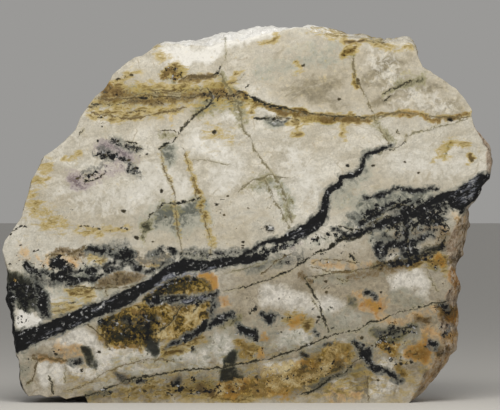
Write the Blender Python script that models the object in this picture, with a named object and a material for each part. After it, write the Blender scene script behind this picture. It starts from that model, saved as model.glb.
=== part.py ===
"""A sawn slab of vein silver ore that stands on its flat base.

The stone is one solid. A flat sawn face looks towards -Y. From its edge the wall runs back over
the stone's widest section to a rough broken back, and the base lies in the plane z = 0. The wall
is a loft between unlike sections: every section follows the same outline, drawn in by an amount
that changes along the edge and with the depth, and is broken up by shell-shaped scars.
"""

import bpy
import bmesh
import numpy as np

MM = 0.001

# Driving dimensions, in millimetres.
RIM_DEPTH = 31.0          # from the sawn face to the rim of the back
BACK_RISE = 3.6           # how far the middle of the back stands behind its rim
BACK_EDGE_ROUND = 5.0     # how far the wall is drawn in at the rim of the back
FACE_Y = -19.4            # the sawn face
OUTLINE_BLEND = 11.0      # depth over which the outline's small steps fade out
SCAR_SIZE = 17.0          # large shell-shaped scars of the wall and the back
SCAR_DEPTH = 3.4
SCARS_DEEPEN = 8.0        # depth over which they reach their full depth
LUMP_SIZE = 7.5           # lumps between the scars
LUMP_HEIGHT = 1.1
LEDGE_HEIGHT = 2.4        # the back steps down above the main vein
LEDGE_RUN = 3.0           # width of that step
VEIN_DIP = 0.25           # rise of the vein per millimetre of depth
VEIN_GROOVE = 1.0         # the soft vein lies this much below the wall
VEIN_HALF_WIDTH = 2.2
PIT_CENTRE = (50.5, 70.8)
PIT_SIZE = (1.9, 1.6, 1.0)

# Broken facets of the back: the way each faces, and its distance from the stone's middle.
MIDDLE = (0.0, 0.0, 45.0)
FACETS = (
    ((-0.55, 0.55, 0.62), 40.5), ((0.80, 0.60, 0.10), 50.5), ((0.50, 0.50, 0.70), 50.5),
    ((-0.75, 0.65, -0.15), 49.0), ((0.10, 0.93, -0.35), 26.0), ((0.05, 0.50, 0.86), 43.0),
    ((-0.20, 0.97, 0.15), 23.0), ((0.45, 0.86, -0.25), 33.0),
)
FACET_ROUGHNESS = 1.2

# Steps of the mesh along the base and top, along the two sides, and back through the wall.
STEPS_ACROSS = 40
STEPS_UP = 56
WALL_DEPTHS = (0.0, 0.055, 0.12, 0.19, 0.27, 0.36, 0.46, 0.56, 0.66, 0.76, 0.86, 0.94, 1.0)

# The outline in four runs, clockwise as seen on the sawn face. Each point gives x, z, how far the
# sawn face's own edge lies inside the outline, and how deep behind the face the stone is widest.
LEFT_RUN = (
    (-55.1, 1.6, 0.0, 1.0), (-56.5, 3.4, 0.3, 2.0), (-57.5, 5.9, 0.3, 2.0), (-57.6, 8.1, 0.4, 2.0),
    (-58.0, 10.8, 0.5, 3.0), (-58.8, 11.8, 0.8, 3.0), (-59.4, 17.5, 1.2, 3.0), (-60.1, 22.8, 1.2, 3.0),
    (-61.1, 25.8, 1.5, 3.0), (-60.9, 28.0, 1.2, 3.0), (-60.4, 32.5, 0.5, 2.0), (-61.0, 35.3, 0.2, 1.0),
    (-61.7, 38.3, 0.0, 1.0), (-61.1, 40.6, 0.0, 1.0), (-59.6, 42.5, 0.0, 1.0), (-57.0, 46.3, 0.0, 1.0),
    (-55.9, 50.3, 0.0, 1.0), (-54.7, 53.8, 0.0, 1.0), (-54.3, 55.9, 0.0, 1.0), (-52.3, 59.4, 0.0, 1.0),
    (-51.2, 61.8, 0.0, 1.0), (-49.3, 63.1, 0.0, 1.0), (-46.2, 65.4, 0.0, 1.0), (-43.3, 68.5, 0.0, 1.0),
    (-42.2, 71.4, 0.0, 1.0), (-40.8, 73.5, 0.0, 1.0), (-38.3, 76.9, 0.0, 1.0), (-36.4, 78.4, 0.0, 1.0),
    (-34.6, 81.1, 0.0, 1.0), (-34.2, 82.1, 0.0, 1.0), (-31.5, 84.4, 0.0, 1.0), (-28.4, 86.6, 0.0, 1.0),
    (-26.7, 86.9, 0.0, 1.0), (-24.0, 88.9, 0.2, 2.0), (-20.9, 90.5, 0.6, 3.0),
)
TOP_RUN = (
    (-20.9, 90.5, 0.6, 3.0), (-17.6, 90.8, 1.2, 4.0), (-14.3, 90.9, 1.8, 4.0), (-10.1, 91.8, 3.2, 6.0),
    (-6.4, 93.3, 3.6, 6.0), (-1.9, 93.5, 3.0, 5.0), (1.2, 94.1, 2.9, 5.0), (4.1, 94.8, 2.9, 5.0),
    (7.8, 94.3, 1.4, 4.0), (12.0, 94.3, 0.4, 2.0), (14.7, 94.9, 1.2, 3.0), (19.5, 94.3, 3.2, 5.0),
    (23.0, 93.3, 2.5, 5.0), (26.1, 92.7, 1.7, 4.0), (30.2, 92.2, 1.6, 4.0), (34.3, 91.1, 1.5, 4.0),
    (34.7, 91.6, 1.9, 4.0), (36.2, 91.8, 2.2, 4.0), (39.7, 91.9, 2.6, 4.0), (40.5, 91.6, 2.4, 4.0),
)
RIGHT_RUN = (
    (40.5, 91.6, 2.4, 4.0), (41.6, 90.6, 1.6, 4.0), (42.6, 88.3, 0.6, 3.0), (42.7, 86.7, 0.3, 2.0),
    (43.7, 84.2, 0.2, 1.0), (45.7, 83.1, 0.2, 1.0), (47.0, 82.2, 0.0, 1.0), (50.9, 79.3, 0.0, 1.0),
    (51.9, 78.8, 0.0, 1.0), (54.4, 75.9, 0.0, 1.0), (56.0, 73.3, 0.0, 1.0), (55.9, 71.8, 0.0, 1.0),
    (56.9, 68.8, 0.2, 2.0), (58.1, 67.5, 0.6, 3.0), (60.9, 64.0, 1.4, 4.0), (61.7, 61.3, 2.2, 5.0),
    (61.7, 59.6, 2.3, 5.0), (60.4, 56.0, 1.2, 4.0), (59.4, 54.6, 0.8, 4.0), (57.1, 50.5, 1.0, 5.0),
    (55.6, 48.5, 1.6, 6.0), (55.8, 46.6, 2.9, 7.0), (56.1, 44.5, 4.2, 8.0), (55.3, 42.0, 4.9, 8.0),
    (54.2, 38.3, 5.4, 8.0), (54.3, 36.7, 5.8, 8.0), (52.8, 34.3, 3.6, 7.0), (52.4, 32.5, 2.0, 6.0),
    (53.6, 29.0, 3.3, 6.0), (53.4, 26.9, 4.3, 7.0), (52.9, 24.9, 4.6, 7.0), (53.4, 21.6, 6.3, 8.0),
    (52.9, 17.5, 5.5, 8.0), (52.4, 12.9, 4.6, 7.0), (50.3, 9.6, 4.2, 7.0), (47.4, 6.0, 3.6, 6.0),
    (45.7, 4.6, 3.3, 6.0), (44.5, 3.2, 2.6, 5.0), (42.0, 0.9, 1.4, 4.0), (40.1, 0.0, 0.0, 1.0),
)
BASE_RUN = (
    (40.1, 0.0, 0.0, 1.0), (-40.1, 0.0, 0.0, 1.0), (-40.6, 1.1, 0.0, 1.0), (-41.0, 1.7, 0.0, 1.0),
    (-43.5, 1.4, 0.0, 1.0), (-45.6, 0.9, 0.0, 1.0), (-47.6, 1.7, 0.0, 1.0), (-50.3, 1.3, 0.0, 1.0),
    (-52.2, 1.9, 0.0, 1.0), (-55.1, 1.6, 0.0, 1.0),
)

# The main vein's line across the sawn face, as x and z.
MAIN_VEIN = ((-61.0, 15.0), (-39.4, 22.8), (-22.6, 30.9), (-0.9, 35.5), (10.6, 43.0), (24.6, 56.8),
             (38.6, 47.5), (53.4, 53.3), (61.0, 57.5))


def ease(value, low, high):
    """Smooth step from 0 at low to 1 at high."""
    t = np.clip((value - low) / (high - low), 0.0, 1.0)
    return t * t * (3.0 - 2.0 * t)


def scattered(cells, salt):
    """A fixed number from 0 to 1 for every cell of a whole-number lattice."""
    n = cells[..., 0] * 73856093 ^ cells[..., 1] * 19349663 ^ cells[..., 2] * 83492791
    n = (n + salt * 97531) & 0xFFFFFFFF
    for shift, factor in ((16, 2246822519), (13, 3266489917)):
        n = ((n ^ (n >> shift)) * factor) & 0xFFFFFFFF
    return (n ^ (n >> 16)) / 0xFFFFFFFF


def lumps(points, size, salt):
    """Bumps of about one size that meet in creases, from about 0 to 1.

    Every lattice cell holds one tilted paraboloid, and the highest one counts.
    """
    scaled = points / size
    home = np.floor(scaled).astype(np.int64)
    best = np.full(points.shape[:-1], -9.0)
    steps = np.array(np.meshgrid(*[(-1, 0, 1)] * 3)).reshape(3, -1).T
    for step in steps:
        cell = home + step
        centre = cell + np.stack([scattered(cell, salt + k) for k in range(3)], axis=-1)
        tilt = np.stack([scattered(cell, salt + 3 + k) - 0.5 for k in range(3)], axis=-1)
        away = scaled - centre
        height = 0.7 * scattered(cell, salt + 6) + (tilt * away).sum(-1) - 0.9 * (away ** 2).sum(-1)
        best = np.maximum(best, height)
    return np.clip(best + 0.1, 0.0, 1.0)


def stations(run, steps):
    """Points at even steps along a run, moved to its own corners, without its last point."""
    run = np.array(run)
    lengths = np.hypot(*np.diff(run[:, :2], axis=0).T)
    reached = np.concatenate([[0.0], np.cumsum(lengths)])
    wanted = np.linspace(0.0, reached[-1], steps, endpoint=False)
    nearest = np.rint(reached[:-1] / reached[-1] * steps).astype(int)
    wanted[np.minimum(nearest, steps - 1)] = reached[:-1]
    return np.stack([np.interp(wanted, reached, run[:, k]) for k in range(run.shape[1])], axis=-1)


def blurred(ring, width):
    """The closed ring smoothed over a width given in its own steps."""
    waves = np.fft.fftfreq(len(ring)) * 2.0 * np.pi
    fade = np.exp(-0.5 * (waves * width) ** 2)
    return np.fft.ifft(np.fft.fft(ring, axis=0) * fade[:, None], axis=0).real


def broken(points):
    """Points beyond a facet's plane brought back to it, each plane a little uneven."""
    for salt, (way, distance) in enumerate(FACETS):
        way = np.array(way) / np.linalg.norm(way)
        uneven = FACET_ROUGHNESS * lumps(points, LUMP_SIZE, 40 + salt)
        beyond = (points - MIDDLE) @ way - distance + uneven
        points = points - way * np.maximum(beyond, 0.0)[..., None]
    return points


def main_vein(x, depth):
    """Height of the main vein at x, at a depth behind the sawn face."""
    return np.interp(x, *np.array(MAIN_VEIN).T) + VEIN_DIP * depth


def wall(steps_across, steps_up, depths):
    """Sections of the wall from the sawn face to the rim of the back, as (section, point, xyz)."""
    ring = np.concatenate([stations(LEFT_RUN, steps_up), stations(TOP_RUN, steps_across),
                           stations(RIGHT_RUN, steps_up), stations(BASE_RUN, steps_across)])
    unit = len(ring) / 192.0
    outline, inset, reach = ring[:, :2], ring[:, 2], ring[:, 3]
    smooth = blurred(outline, 2.2 * unit)
    along = np.roll(smooth, -1, axis=0) - np.roll(smooth, 1, axis=0)
    outward = np.stack([-along[:, 1], along[:, 0]], axis=-1)
    outward /= np.linalg.norm(outward, axis=-1, keepdims=True)
    under = np.arange(len(ring)) >= len(ring) - steps_across
    free = 1.0 - blurred(under[:, None].astype(float), 1.2 * unit)[:, 0]
    free *= ease(outline[:, 1], 0.0, 5.0)

    depth = np.array(depths)[:, None] * RIM_DEPTH
    settled = ease(depth, reach, reach + OUTLINE_BLEND)[..., None] * free[:, None]
    section = outline * (1.0 - settled) + smooth * settled
    drawn_in = inset * np.clip(1.0 - depth / reach, 0.0, 1.0) ** 1.4
    drawn_in = drawn_in + free * BACK_EDGE_ROUND * (depth / RIM_DEPTH) ** 3
    body = np.stack([section[..., 0], np.broadcast_to(depth + FACE_Y, section.shape[:2]),
                     section[..., 1]], axis=-1)
    scars = SCAR_DEPTH * lumps(body, SCAR_SIZE, 11)
    bumps = LUMP_HEIGHT * (1.0 - lumps(body, LUMP_SIZE, 23))
    from_vein = body[..., 2] - main_vein(body[..., 0], depth)
    groove = VEIN_GROOVE * np.exp(-(from_vein / VEIN_HALF_WIDTH) ** 2)
    drawn_in = drawn_in + (scars + bumps + groove) * free * ease(depth, reach, reach + SCARS_DEEPEN)
    body[..., 0] -= outward[:, 0] * drawn_in
    body[..., 2] -= outward[:, 1] * drawn_in
    body[..., 2] = np.where(body[..., 2] < 0.02, 0.0, body[..., 2])
    return body


def patch(ring, steps_across, steps_up):
    """A closed ring filled with a Coons patch, as (up, across, xyz)."""
    corner = np.cumsum([0, steps_up, steps_across, steps_up])
    loop = np.concatenate([ring, ring[:1]])
    left = loop[corner[0]:corner[1] + 1][:, None]
    top = loop[corner[1]:corner[2] + 1][None]
    right = loop[corner[2]:corner[3] + 1][::-1][:, None]
    base = loop[corner[3]:][::-1][None]
    u = np.linspace(0.0, 1.0, steps_across + 1)[None, :, None]
    v = np.linspace(0.0, 1.0, steps_up + 1)[:, None, None]
    low = base[:, :1] * (1.0 - u) + base[:, -1:] * u
    high = top[:, :1] * (1.0 - u) + top[:, -1:] * u
    return base * (1.0 - v) + top * v + left * (1.0 - u) + right * u - low * (1.0 - v) - high * v


def back(rim, steps_across, steps_up):
    """The broken back: it rises behind its rim, steps at the main vein and carries scars."""
    grid = patch(rim, steps_across, steps_up)
    u = np.linspace(0.0, 1.0, steps_across + 1)[None]
    v = np.linspace(0.0, 1.0, steps_up + 1)[:, None]
    inner = np.clip(8.0 * u * (1.0 - u), 0.0, 1.0) * np.clip(8.0 * v * (1.0 - v), 0.0, 1.0)
    from_vein = grid[..., 2] - main_vein(grid[..., 0], RIM_DEPTH)
    ledge = LEDGE_HEIGHT * ease(from_vein, -LEDGE_RUN, LEDGE_RUN)
    relief = SCAR_DEPTH * (1.0 - lumps(grid, SCAR_SIZE, 11)) + LUMP_HEIGHT * lumps(grid, LUMP_SIZE, 23)
    grid[..., 1] += inner * (BACK_RISE + relief - ledge)
    return grid


def stone_mesh():
    """The closed mesh: the sawn face as one polygon, the lofted wall and the back."""
    sections = wall(STEPS_ACROSS, STEPS_UP, WALL_DEPTHS)
    grid = broken(back(sections[-1], STEPS_ACROSS, STEPS_UP))
    sections = broken(sections)
    bm = bmesh.new()
    rings = [[bm.verts.new(point * MM) for point in section] for section in sections]
    bm.faces.new(rings[0])
    for front, behind in zip(rings, rings[1:]):
        for here in range(len(front)):
            after = (here + 1) % len(front)
            bm.faces.new((front[here], front[after], behind[after], behind[here]))
    rows = [[bm.verts.new(point * MM) for point in row] for row in grid]
    for low, high in zip(rows, rows[1:]):
        for here in range(STEPS_ACROSS):
            bm.faces.new((low[here], low[here + 1], high[here + 1], high[here]))
    bmesh.ops.remove_doubles(bm, verts=bm.verts, dist=0.00001)
    bmesh.ops.recalc_face_normals(bm, faces=bm.faces)
    bmesh.ops.triangulate(bm, faces=[face for face in bm.faces if len(face.verts) == 4])
    flat = [edge for edge in bm.edges if all(vert.co.z == 0.0 for vert in edge.verts)]
    bmesh.ops.dissolve_limit(bm, angle_limit=0.001, edges=flat, verts=[])
    mesh = bpy.data.meshes.new("ore_slab")
    bm.to_mesh(mesh)
    bm.free()
    return mesh


def stone_material():
    """Milky vein quartz with dark ore in it, sawn to a soft sheen."""
    material = bpy.data.materials.new("ore_stone")
    material.use_nodes = True
    shader = material.node_tree.nodes["Principled BSDF"]
    shader.inputs["Base Color"].default_value = (0.46, 0.42, 0.35, 1.0)
    shader.inputs["Roughness"].default_value = 0.55
    shader.inputs["Metallic"].default_value = 0.0
    return material


def collection(name):
    """A new collection under the scene."""
    made = bpy.data.collections.new(name)
    bpy.context.scene.collection.children.link(made)
    return made


def pit_cutter(home):
    """A small ball that leaves the open pit on the sawn face's upper vein."""
    bm = bmesh.new()
    bmesh.ops.create_icosphere(bm, subdivisions=2, radius=0.5 * MM)
    bmesh.ops.scale(bm, vec=PIT_SIZE, verts=bm.verts)
    mesh = bpy.data.meshes.new("pit_cutter")
    bm.to_mesh(mesh)
    bm.free()
    cutter = bpy.data.objects.new("pit_cutter", mesh)
    cutter.location = (PIT_CENTRE[0] * MM, FACE_Y * MM, PIT_CENTRE[1] * MM)
    cutter.hide_render = True
    cutter.display_type = "WIRE"
    home.objects.link(cutter)
    return cutter


def main():
    for old in list(bpy.data.objects):
        bpy.data.objects.remove(old)
    stone = bpy.data.objects.new("ore_slab", stone_mesh())
    stone.data.materials.append(stone_material())
    collection("silver ore").objects.link(stone)
    cut = stone.modifiers.new("pit", "BOOLEAN")
    cut.operation = "DIFFERENCE"
    cut.object = pit_cutter(collection("cutters"))


main()
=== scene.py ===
"""A sawn slab of vein silver ore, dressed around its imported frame.

The stone is one closed surface. The sawn face is a flat grid, the broken wall is a ring of
sections that runs back from the face's edge, and the broken back is a coarser grid. The ore's
veins, cracks, stains and grains are sheets that cross the whole stone, so each is worked out as a
field at every point of the surface, and the stone's material draws them from those fields.
"""

import bpy
import numpy as np
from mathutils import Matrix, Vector


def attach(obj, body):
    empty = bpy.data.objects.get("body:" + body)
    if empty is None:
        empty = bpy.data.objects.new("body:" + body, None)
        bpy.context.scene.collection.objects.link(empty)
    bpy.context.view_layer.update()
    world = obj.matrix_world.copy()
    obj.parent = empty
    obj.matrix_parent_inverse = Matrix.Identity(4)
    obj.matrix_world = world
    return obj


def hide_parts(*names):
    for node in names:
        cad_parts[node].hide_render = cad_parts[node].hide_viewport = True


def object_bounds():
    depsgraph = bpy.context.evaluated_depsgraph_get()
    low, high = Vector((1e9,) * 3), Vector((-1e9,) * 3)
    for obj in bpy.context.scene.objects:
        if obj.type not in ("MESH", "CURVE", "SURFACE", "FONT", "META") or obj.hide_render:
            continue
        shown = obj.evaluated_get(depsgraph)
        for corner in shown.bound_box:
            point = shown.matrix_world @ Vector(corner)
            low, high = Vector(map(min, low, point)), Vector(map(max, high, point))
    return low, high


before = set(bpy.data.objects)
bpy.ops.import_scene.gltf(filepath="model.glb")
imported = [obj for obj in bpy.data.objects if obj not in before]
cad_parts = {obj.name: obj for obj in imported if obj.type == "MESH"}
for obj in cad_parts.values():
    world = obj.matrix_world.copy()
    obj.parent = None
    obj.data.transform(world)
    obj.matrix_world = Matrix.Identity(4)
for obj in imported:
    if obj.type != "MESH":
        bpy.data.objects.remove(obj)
CAD_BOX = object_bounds()

bl_info = {
    "name": "Silver ore slab",
    "version": (1, 0, 0),
    "blender": (4, 5, 0),
    "location": "View3D > Sidebar > Silver ore",
    "description": "Builds a sawn slab of vein quartz with dark silver ore in it",
    "category": "Object",
}

MM = 0.001
NODE = "ore_slab"


def linear(colour):
    """A colour written as sRGB hex, turned to linear light with full cover."""
    parts = np.array([int(colour[k:k + 2], 16) for k in (1, 3, 5)]) / 255.0
    parts = np.where(parts <= 0.04045, parts / 12.92, ((parts + 0.055) / 1.055) ** 2.4)
    return (*parts.tolist(), 1.0)


# The marks on the sawn face are drawn on a square grid, counted across from the left and down from
# the top. GRID_MIDDLE is the grid line over x = 0, and GRID_FLOOR the one at z = 0.
GRID = 0.25
GRID_MIDDLE = 248.5
GRID_FLOOR = 403.0

# What the camera frames at the sawn face: its width, and its middle above x = 0 and above the floor.
VIEW_WIDTH = 0.125
VIEW_MIDDLE = (0.000375, 0.0495)
SENSOR_WIDTH = 36.0
FLOOR_HALF_WIDTH = 4.0

# The key light, above and in front: its place, what it points at, and its width.
KEY_PLACE = (0.0, -0.21, 0.25)
KEY_TARGET = (0.0, -0.02, 0.06)
KEY_WIDTH = 0.20

# The open pit on the upper vein: across, down, half width, half height, and depth in millimetres.
PIT = (450.5, 119.8, 4.0, 2.6, 0.6)

# Marks on the sawn face are strokes: after any numbers named here, each is a run of points, three
# numbers to a point, which are across, down and half width.

# Dark ore. The silver-bearing sulphides fill the main vein, the jagged vein and the vein at the
# right edge, which have clean edges.
ORE_VEINS = (
    # The main vein, from the left edge up to its fork.
    (10, 344, 9, 20, 341, 10, 26, 338, 8.5, 41, 333, 7.5, 58, 326, 7.5, 75, 319, 7, 91, 312, 7, 108, 306,
     6.5, 125, 298, 7, 141, 289, 5.5, 158, 279, 5, 167, 273, 5.5, 175, 269, 7, 184, 266, 7, 191, 265, 6,
     208, 266, 4.5, 224, 262, 4.5, 233, 261, 4, 241, 260, 3.5, 248, 260.5, 4, 257, 259, 2.5, 266, 259, 1),
    (241, 257, 2, 246, 253.5, 1.6, 256, 248, 1.4, 262, 243.5, 1.4, 273, 240.5, 1.6, 280, 241, 3, 287, 238,
     3.4, 292, 235, 4),
    # The wide knot under the jagged vein, and the jagged vein.
    (288, 238, 3, 296, 235, 5, 302, 231.5, 5.5, 308, 229, 6, 314, 224.5, 6.5, 320, 219, 6, 323.5, 212, 3.6,
     325, 205, 3.3, 325.5, 198, 3.3, 329, 191.5, 3, 334.6, 188, 2.6, 340, 184.5, 2.5, 341.2, 178, 2.4,
     347.8, 176, 2.2, 355.3, 175.5, 2.2, 359.4, 171.5, 2, 362, 166, 1.9, 363.6, 160, 1.8, 365.4, 154.6,
     1.8, 370, 153.4, 1.5, 375, 152.6, 1.4, 381, 149.4, 1.3, 387, 147.6, 1.2, 392, 145, .5),
    # The thick vein at the right edge.
    (486, 178, 4, 481, 180, 6, 476, 186, 8, 469, 193, 10, 463, 198, 10, 457, 200, 9),
    (466, 190, 5, 457, 194.5, 4.5, 447, 196.5, 4.5, 438, 199, 4, 431, 202.5, 3.5, 424, 206.5, 3, 416,
     209.5, 2), (462, 212, 2, 461, 206, 4.5, 455, 203, 3),
)

# Dark ore with torn edges: the broken ground on the right, bands beside the vein and blebs.
ORE_PATCHES = (
    # The broken ground: blocks of quartz in a black web.
    (404, 213, 4, 412, 213, 5, 420, 211, 5, 429, 208, 3.6, 438, 206, 2.2, 448, 205.5, 2),
    (398, 205, .8, 405, 208, 1.6, 413, 208, 2),
    (403, 217, 3.5, 396, 218.5, 2.6, 388, 221, 2.4, 379, 223.5, 1.9, 370, 224, 2.2),
    (397, 221, 2.2, 386, 223.5, 2.2, 377, 227, 2.4, 370, 230.5, 2.4, 362, 233, 2.8, 354, 234.5, 2.6, 347,
     235.5, 2, 341, 231, 1.4, 333, 228, 1.2), (372, 215, 1.4, 365, 221, 2, 361, 224, 2.2),
    (405.5, 217, 2.8, 406.5, 224, 2.4, 406.5, 230, 2, 405, 239, 2.2, 401.5, 246, 2.4, 403, 251, 1.4),
    (422, 217, 2.4, 424, 221, 1.4, 433, 221.6, 1.5, 443, 219.4, 1.6, 448, 220.5, 1),
    (376, 249, 1.6, 380, 246.5, 2.4, 387, 245, 2.4, 394, 243.5, 2, 400, 245.5, 2.2, 406, 245, 2, 413, 242,
     1.6, 420, 240, 1.5, 427, 237, 1.5, 433, 234.5, 1),
    (379.5, 249, 2, 379, 254, 1.6, 383, 256.5, 1.7, 386, 252, 1.5),
    (401.5, 250, 1.4, 407, 254, 1.8, 415, 254.5, 1.4),
    (366, 197, .3, 371, 196.4, 1, 378, 196, 1.2, 386, 192.4, 1, 393, 188.6, .6, 402, 189, 1, 413, 190, 1.1,
     420, 189.4, .6, 428, 187.8, .5, 436, 188.7, .5),
    # The torn bands left of the main vein.
    (87, 247.5, .9, 93, 248, 1.7, 99, 250.5, 1.9, 106, 251, 1.7), (127, 251, 1.2, 131, 254, 2, 130, 259, 2),
    (106, 251, .8, 112, 254, .8, 118, 258, .9, 125, 260, 1.9, 131, 262, 1.6),
    (134, 263.5, 1.4, 138, 266.5, 1.9, 141, 269, 1.1),
    (124, 261, 1.2, 114, 263.5, .8, 102, 266, 1.2, 92, 268, .7, 83, 270, .9, 74, 271, .8, 68, 271.5, 1.4),
    (126, 264, .8, 116, 268, 1.2, 106, 272.5, .9, 98, 276, 1.6, 90, 279, 1.7, 84, 281, 1.1, 76, 283, .6,
     66, 285, .6), (53, 259, .8, 56, 261, 1.7, 58, 263, .8), (57, 266, 1.2, 63, 267.5, 1.9, 69, 267, 1.2),
    (54, 275, 1.6, 60, 275.5, 2.2, 67, 274, 2, 72, 276, 1.1), (58, 280, 1.6, 66, 279.5, 1.7, 74, 280, .9),
    (27, 263, 1.1, 30, 266, 1.4), (31, 270, 1.2, 36, 271.5, 1.6, 41, 270, .8),
    (44, 272, 1.1, 49, 273.5, .9), (150, 253, .6, 155, 254, .9), (170, 252, .9, 173, 255, 1.1),
    (147, 271, .6, 158, 268, .7, 170, 262.5, .8),
    # The dark edge of the left side, and the tail of the dark mass.
    (4, 286, 4, 9, 296, 4, 10, 308, 3, 9, 322, 3, 11, 338, 3, 14, 350, 2.6),
    (38, 288, 2, 42, 296, 3, 41, 304, 3, 44, 311, 2.4, 46, 318, 1.6),
    # Blebs and streaks under the main vein.
    (151, 303, 1, 162, 300.6, 2, 171, 299.6, 2.4, 183, 299.4, 2.2, 195, 299, 2, 204, 296.5, 1.6, 212, 294,
     1.4, 217, 292, 1),
    (231, 315, 1, 222, 318, 2, 212, 322.6, 2, 203, 327.4, 1.8, 196, 331, 1.6, 187, 335.4, 1.8, 180, 339,
     1.2, 172, 344, .8), (213, 300, 1.4, 214, 306, 1.6, 211, 312, 1.2),
    (70, 361.6, .9, 75, 362.4, 1.3, 80, 361, 1), (238, 327, 2, 243, 329.5, 2.4, 250, 331.5, 2.2),
    (262, 315, 1.4, 266, 319, 2.2, 270, 322, 1.8), (268, 315, 1, 275, 318, 1.2),
    (354, 343, .6, 359, 350, 1, 362, 353, 1.8, 364.5, 356, 3.4, 365.5, 361, 2.4, 370, 366, 1, 374, 370,
     1.6, 381, 371.5, 1.2, 389, 374.5, 1.6, 396, 378, 1.6, 401, 381, .8), (368, 349, 1.2, 366, 353, 2),
    (366, 293.5, 1.6, 369, 295.5, 1.2, 373.5, 297, 2.2), (431, 345, 1.8, 436, 345.5, 2),
    (315, 331, 1, 319, 333.5, 1.4), (442, 303, 1.2, 445, 306, 1.6, 446, 309, 1),
)

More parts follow.
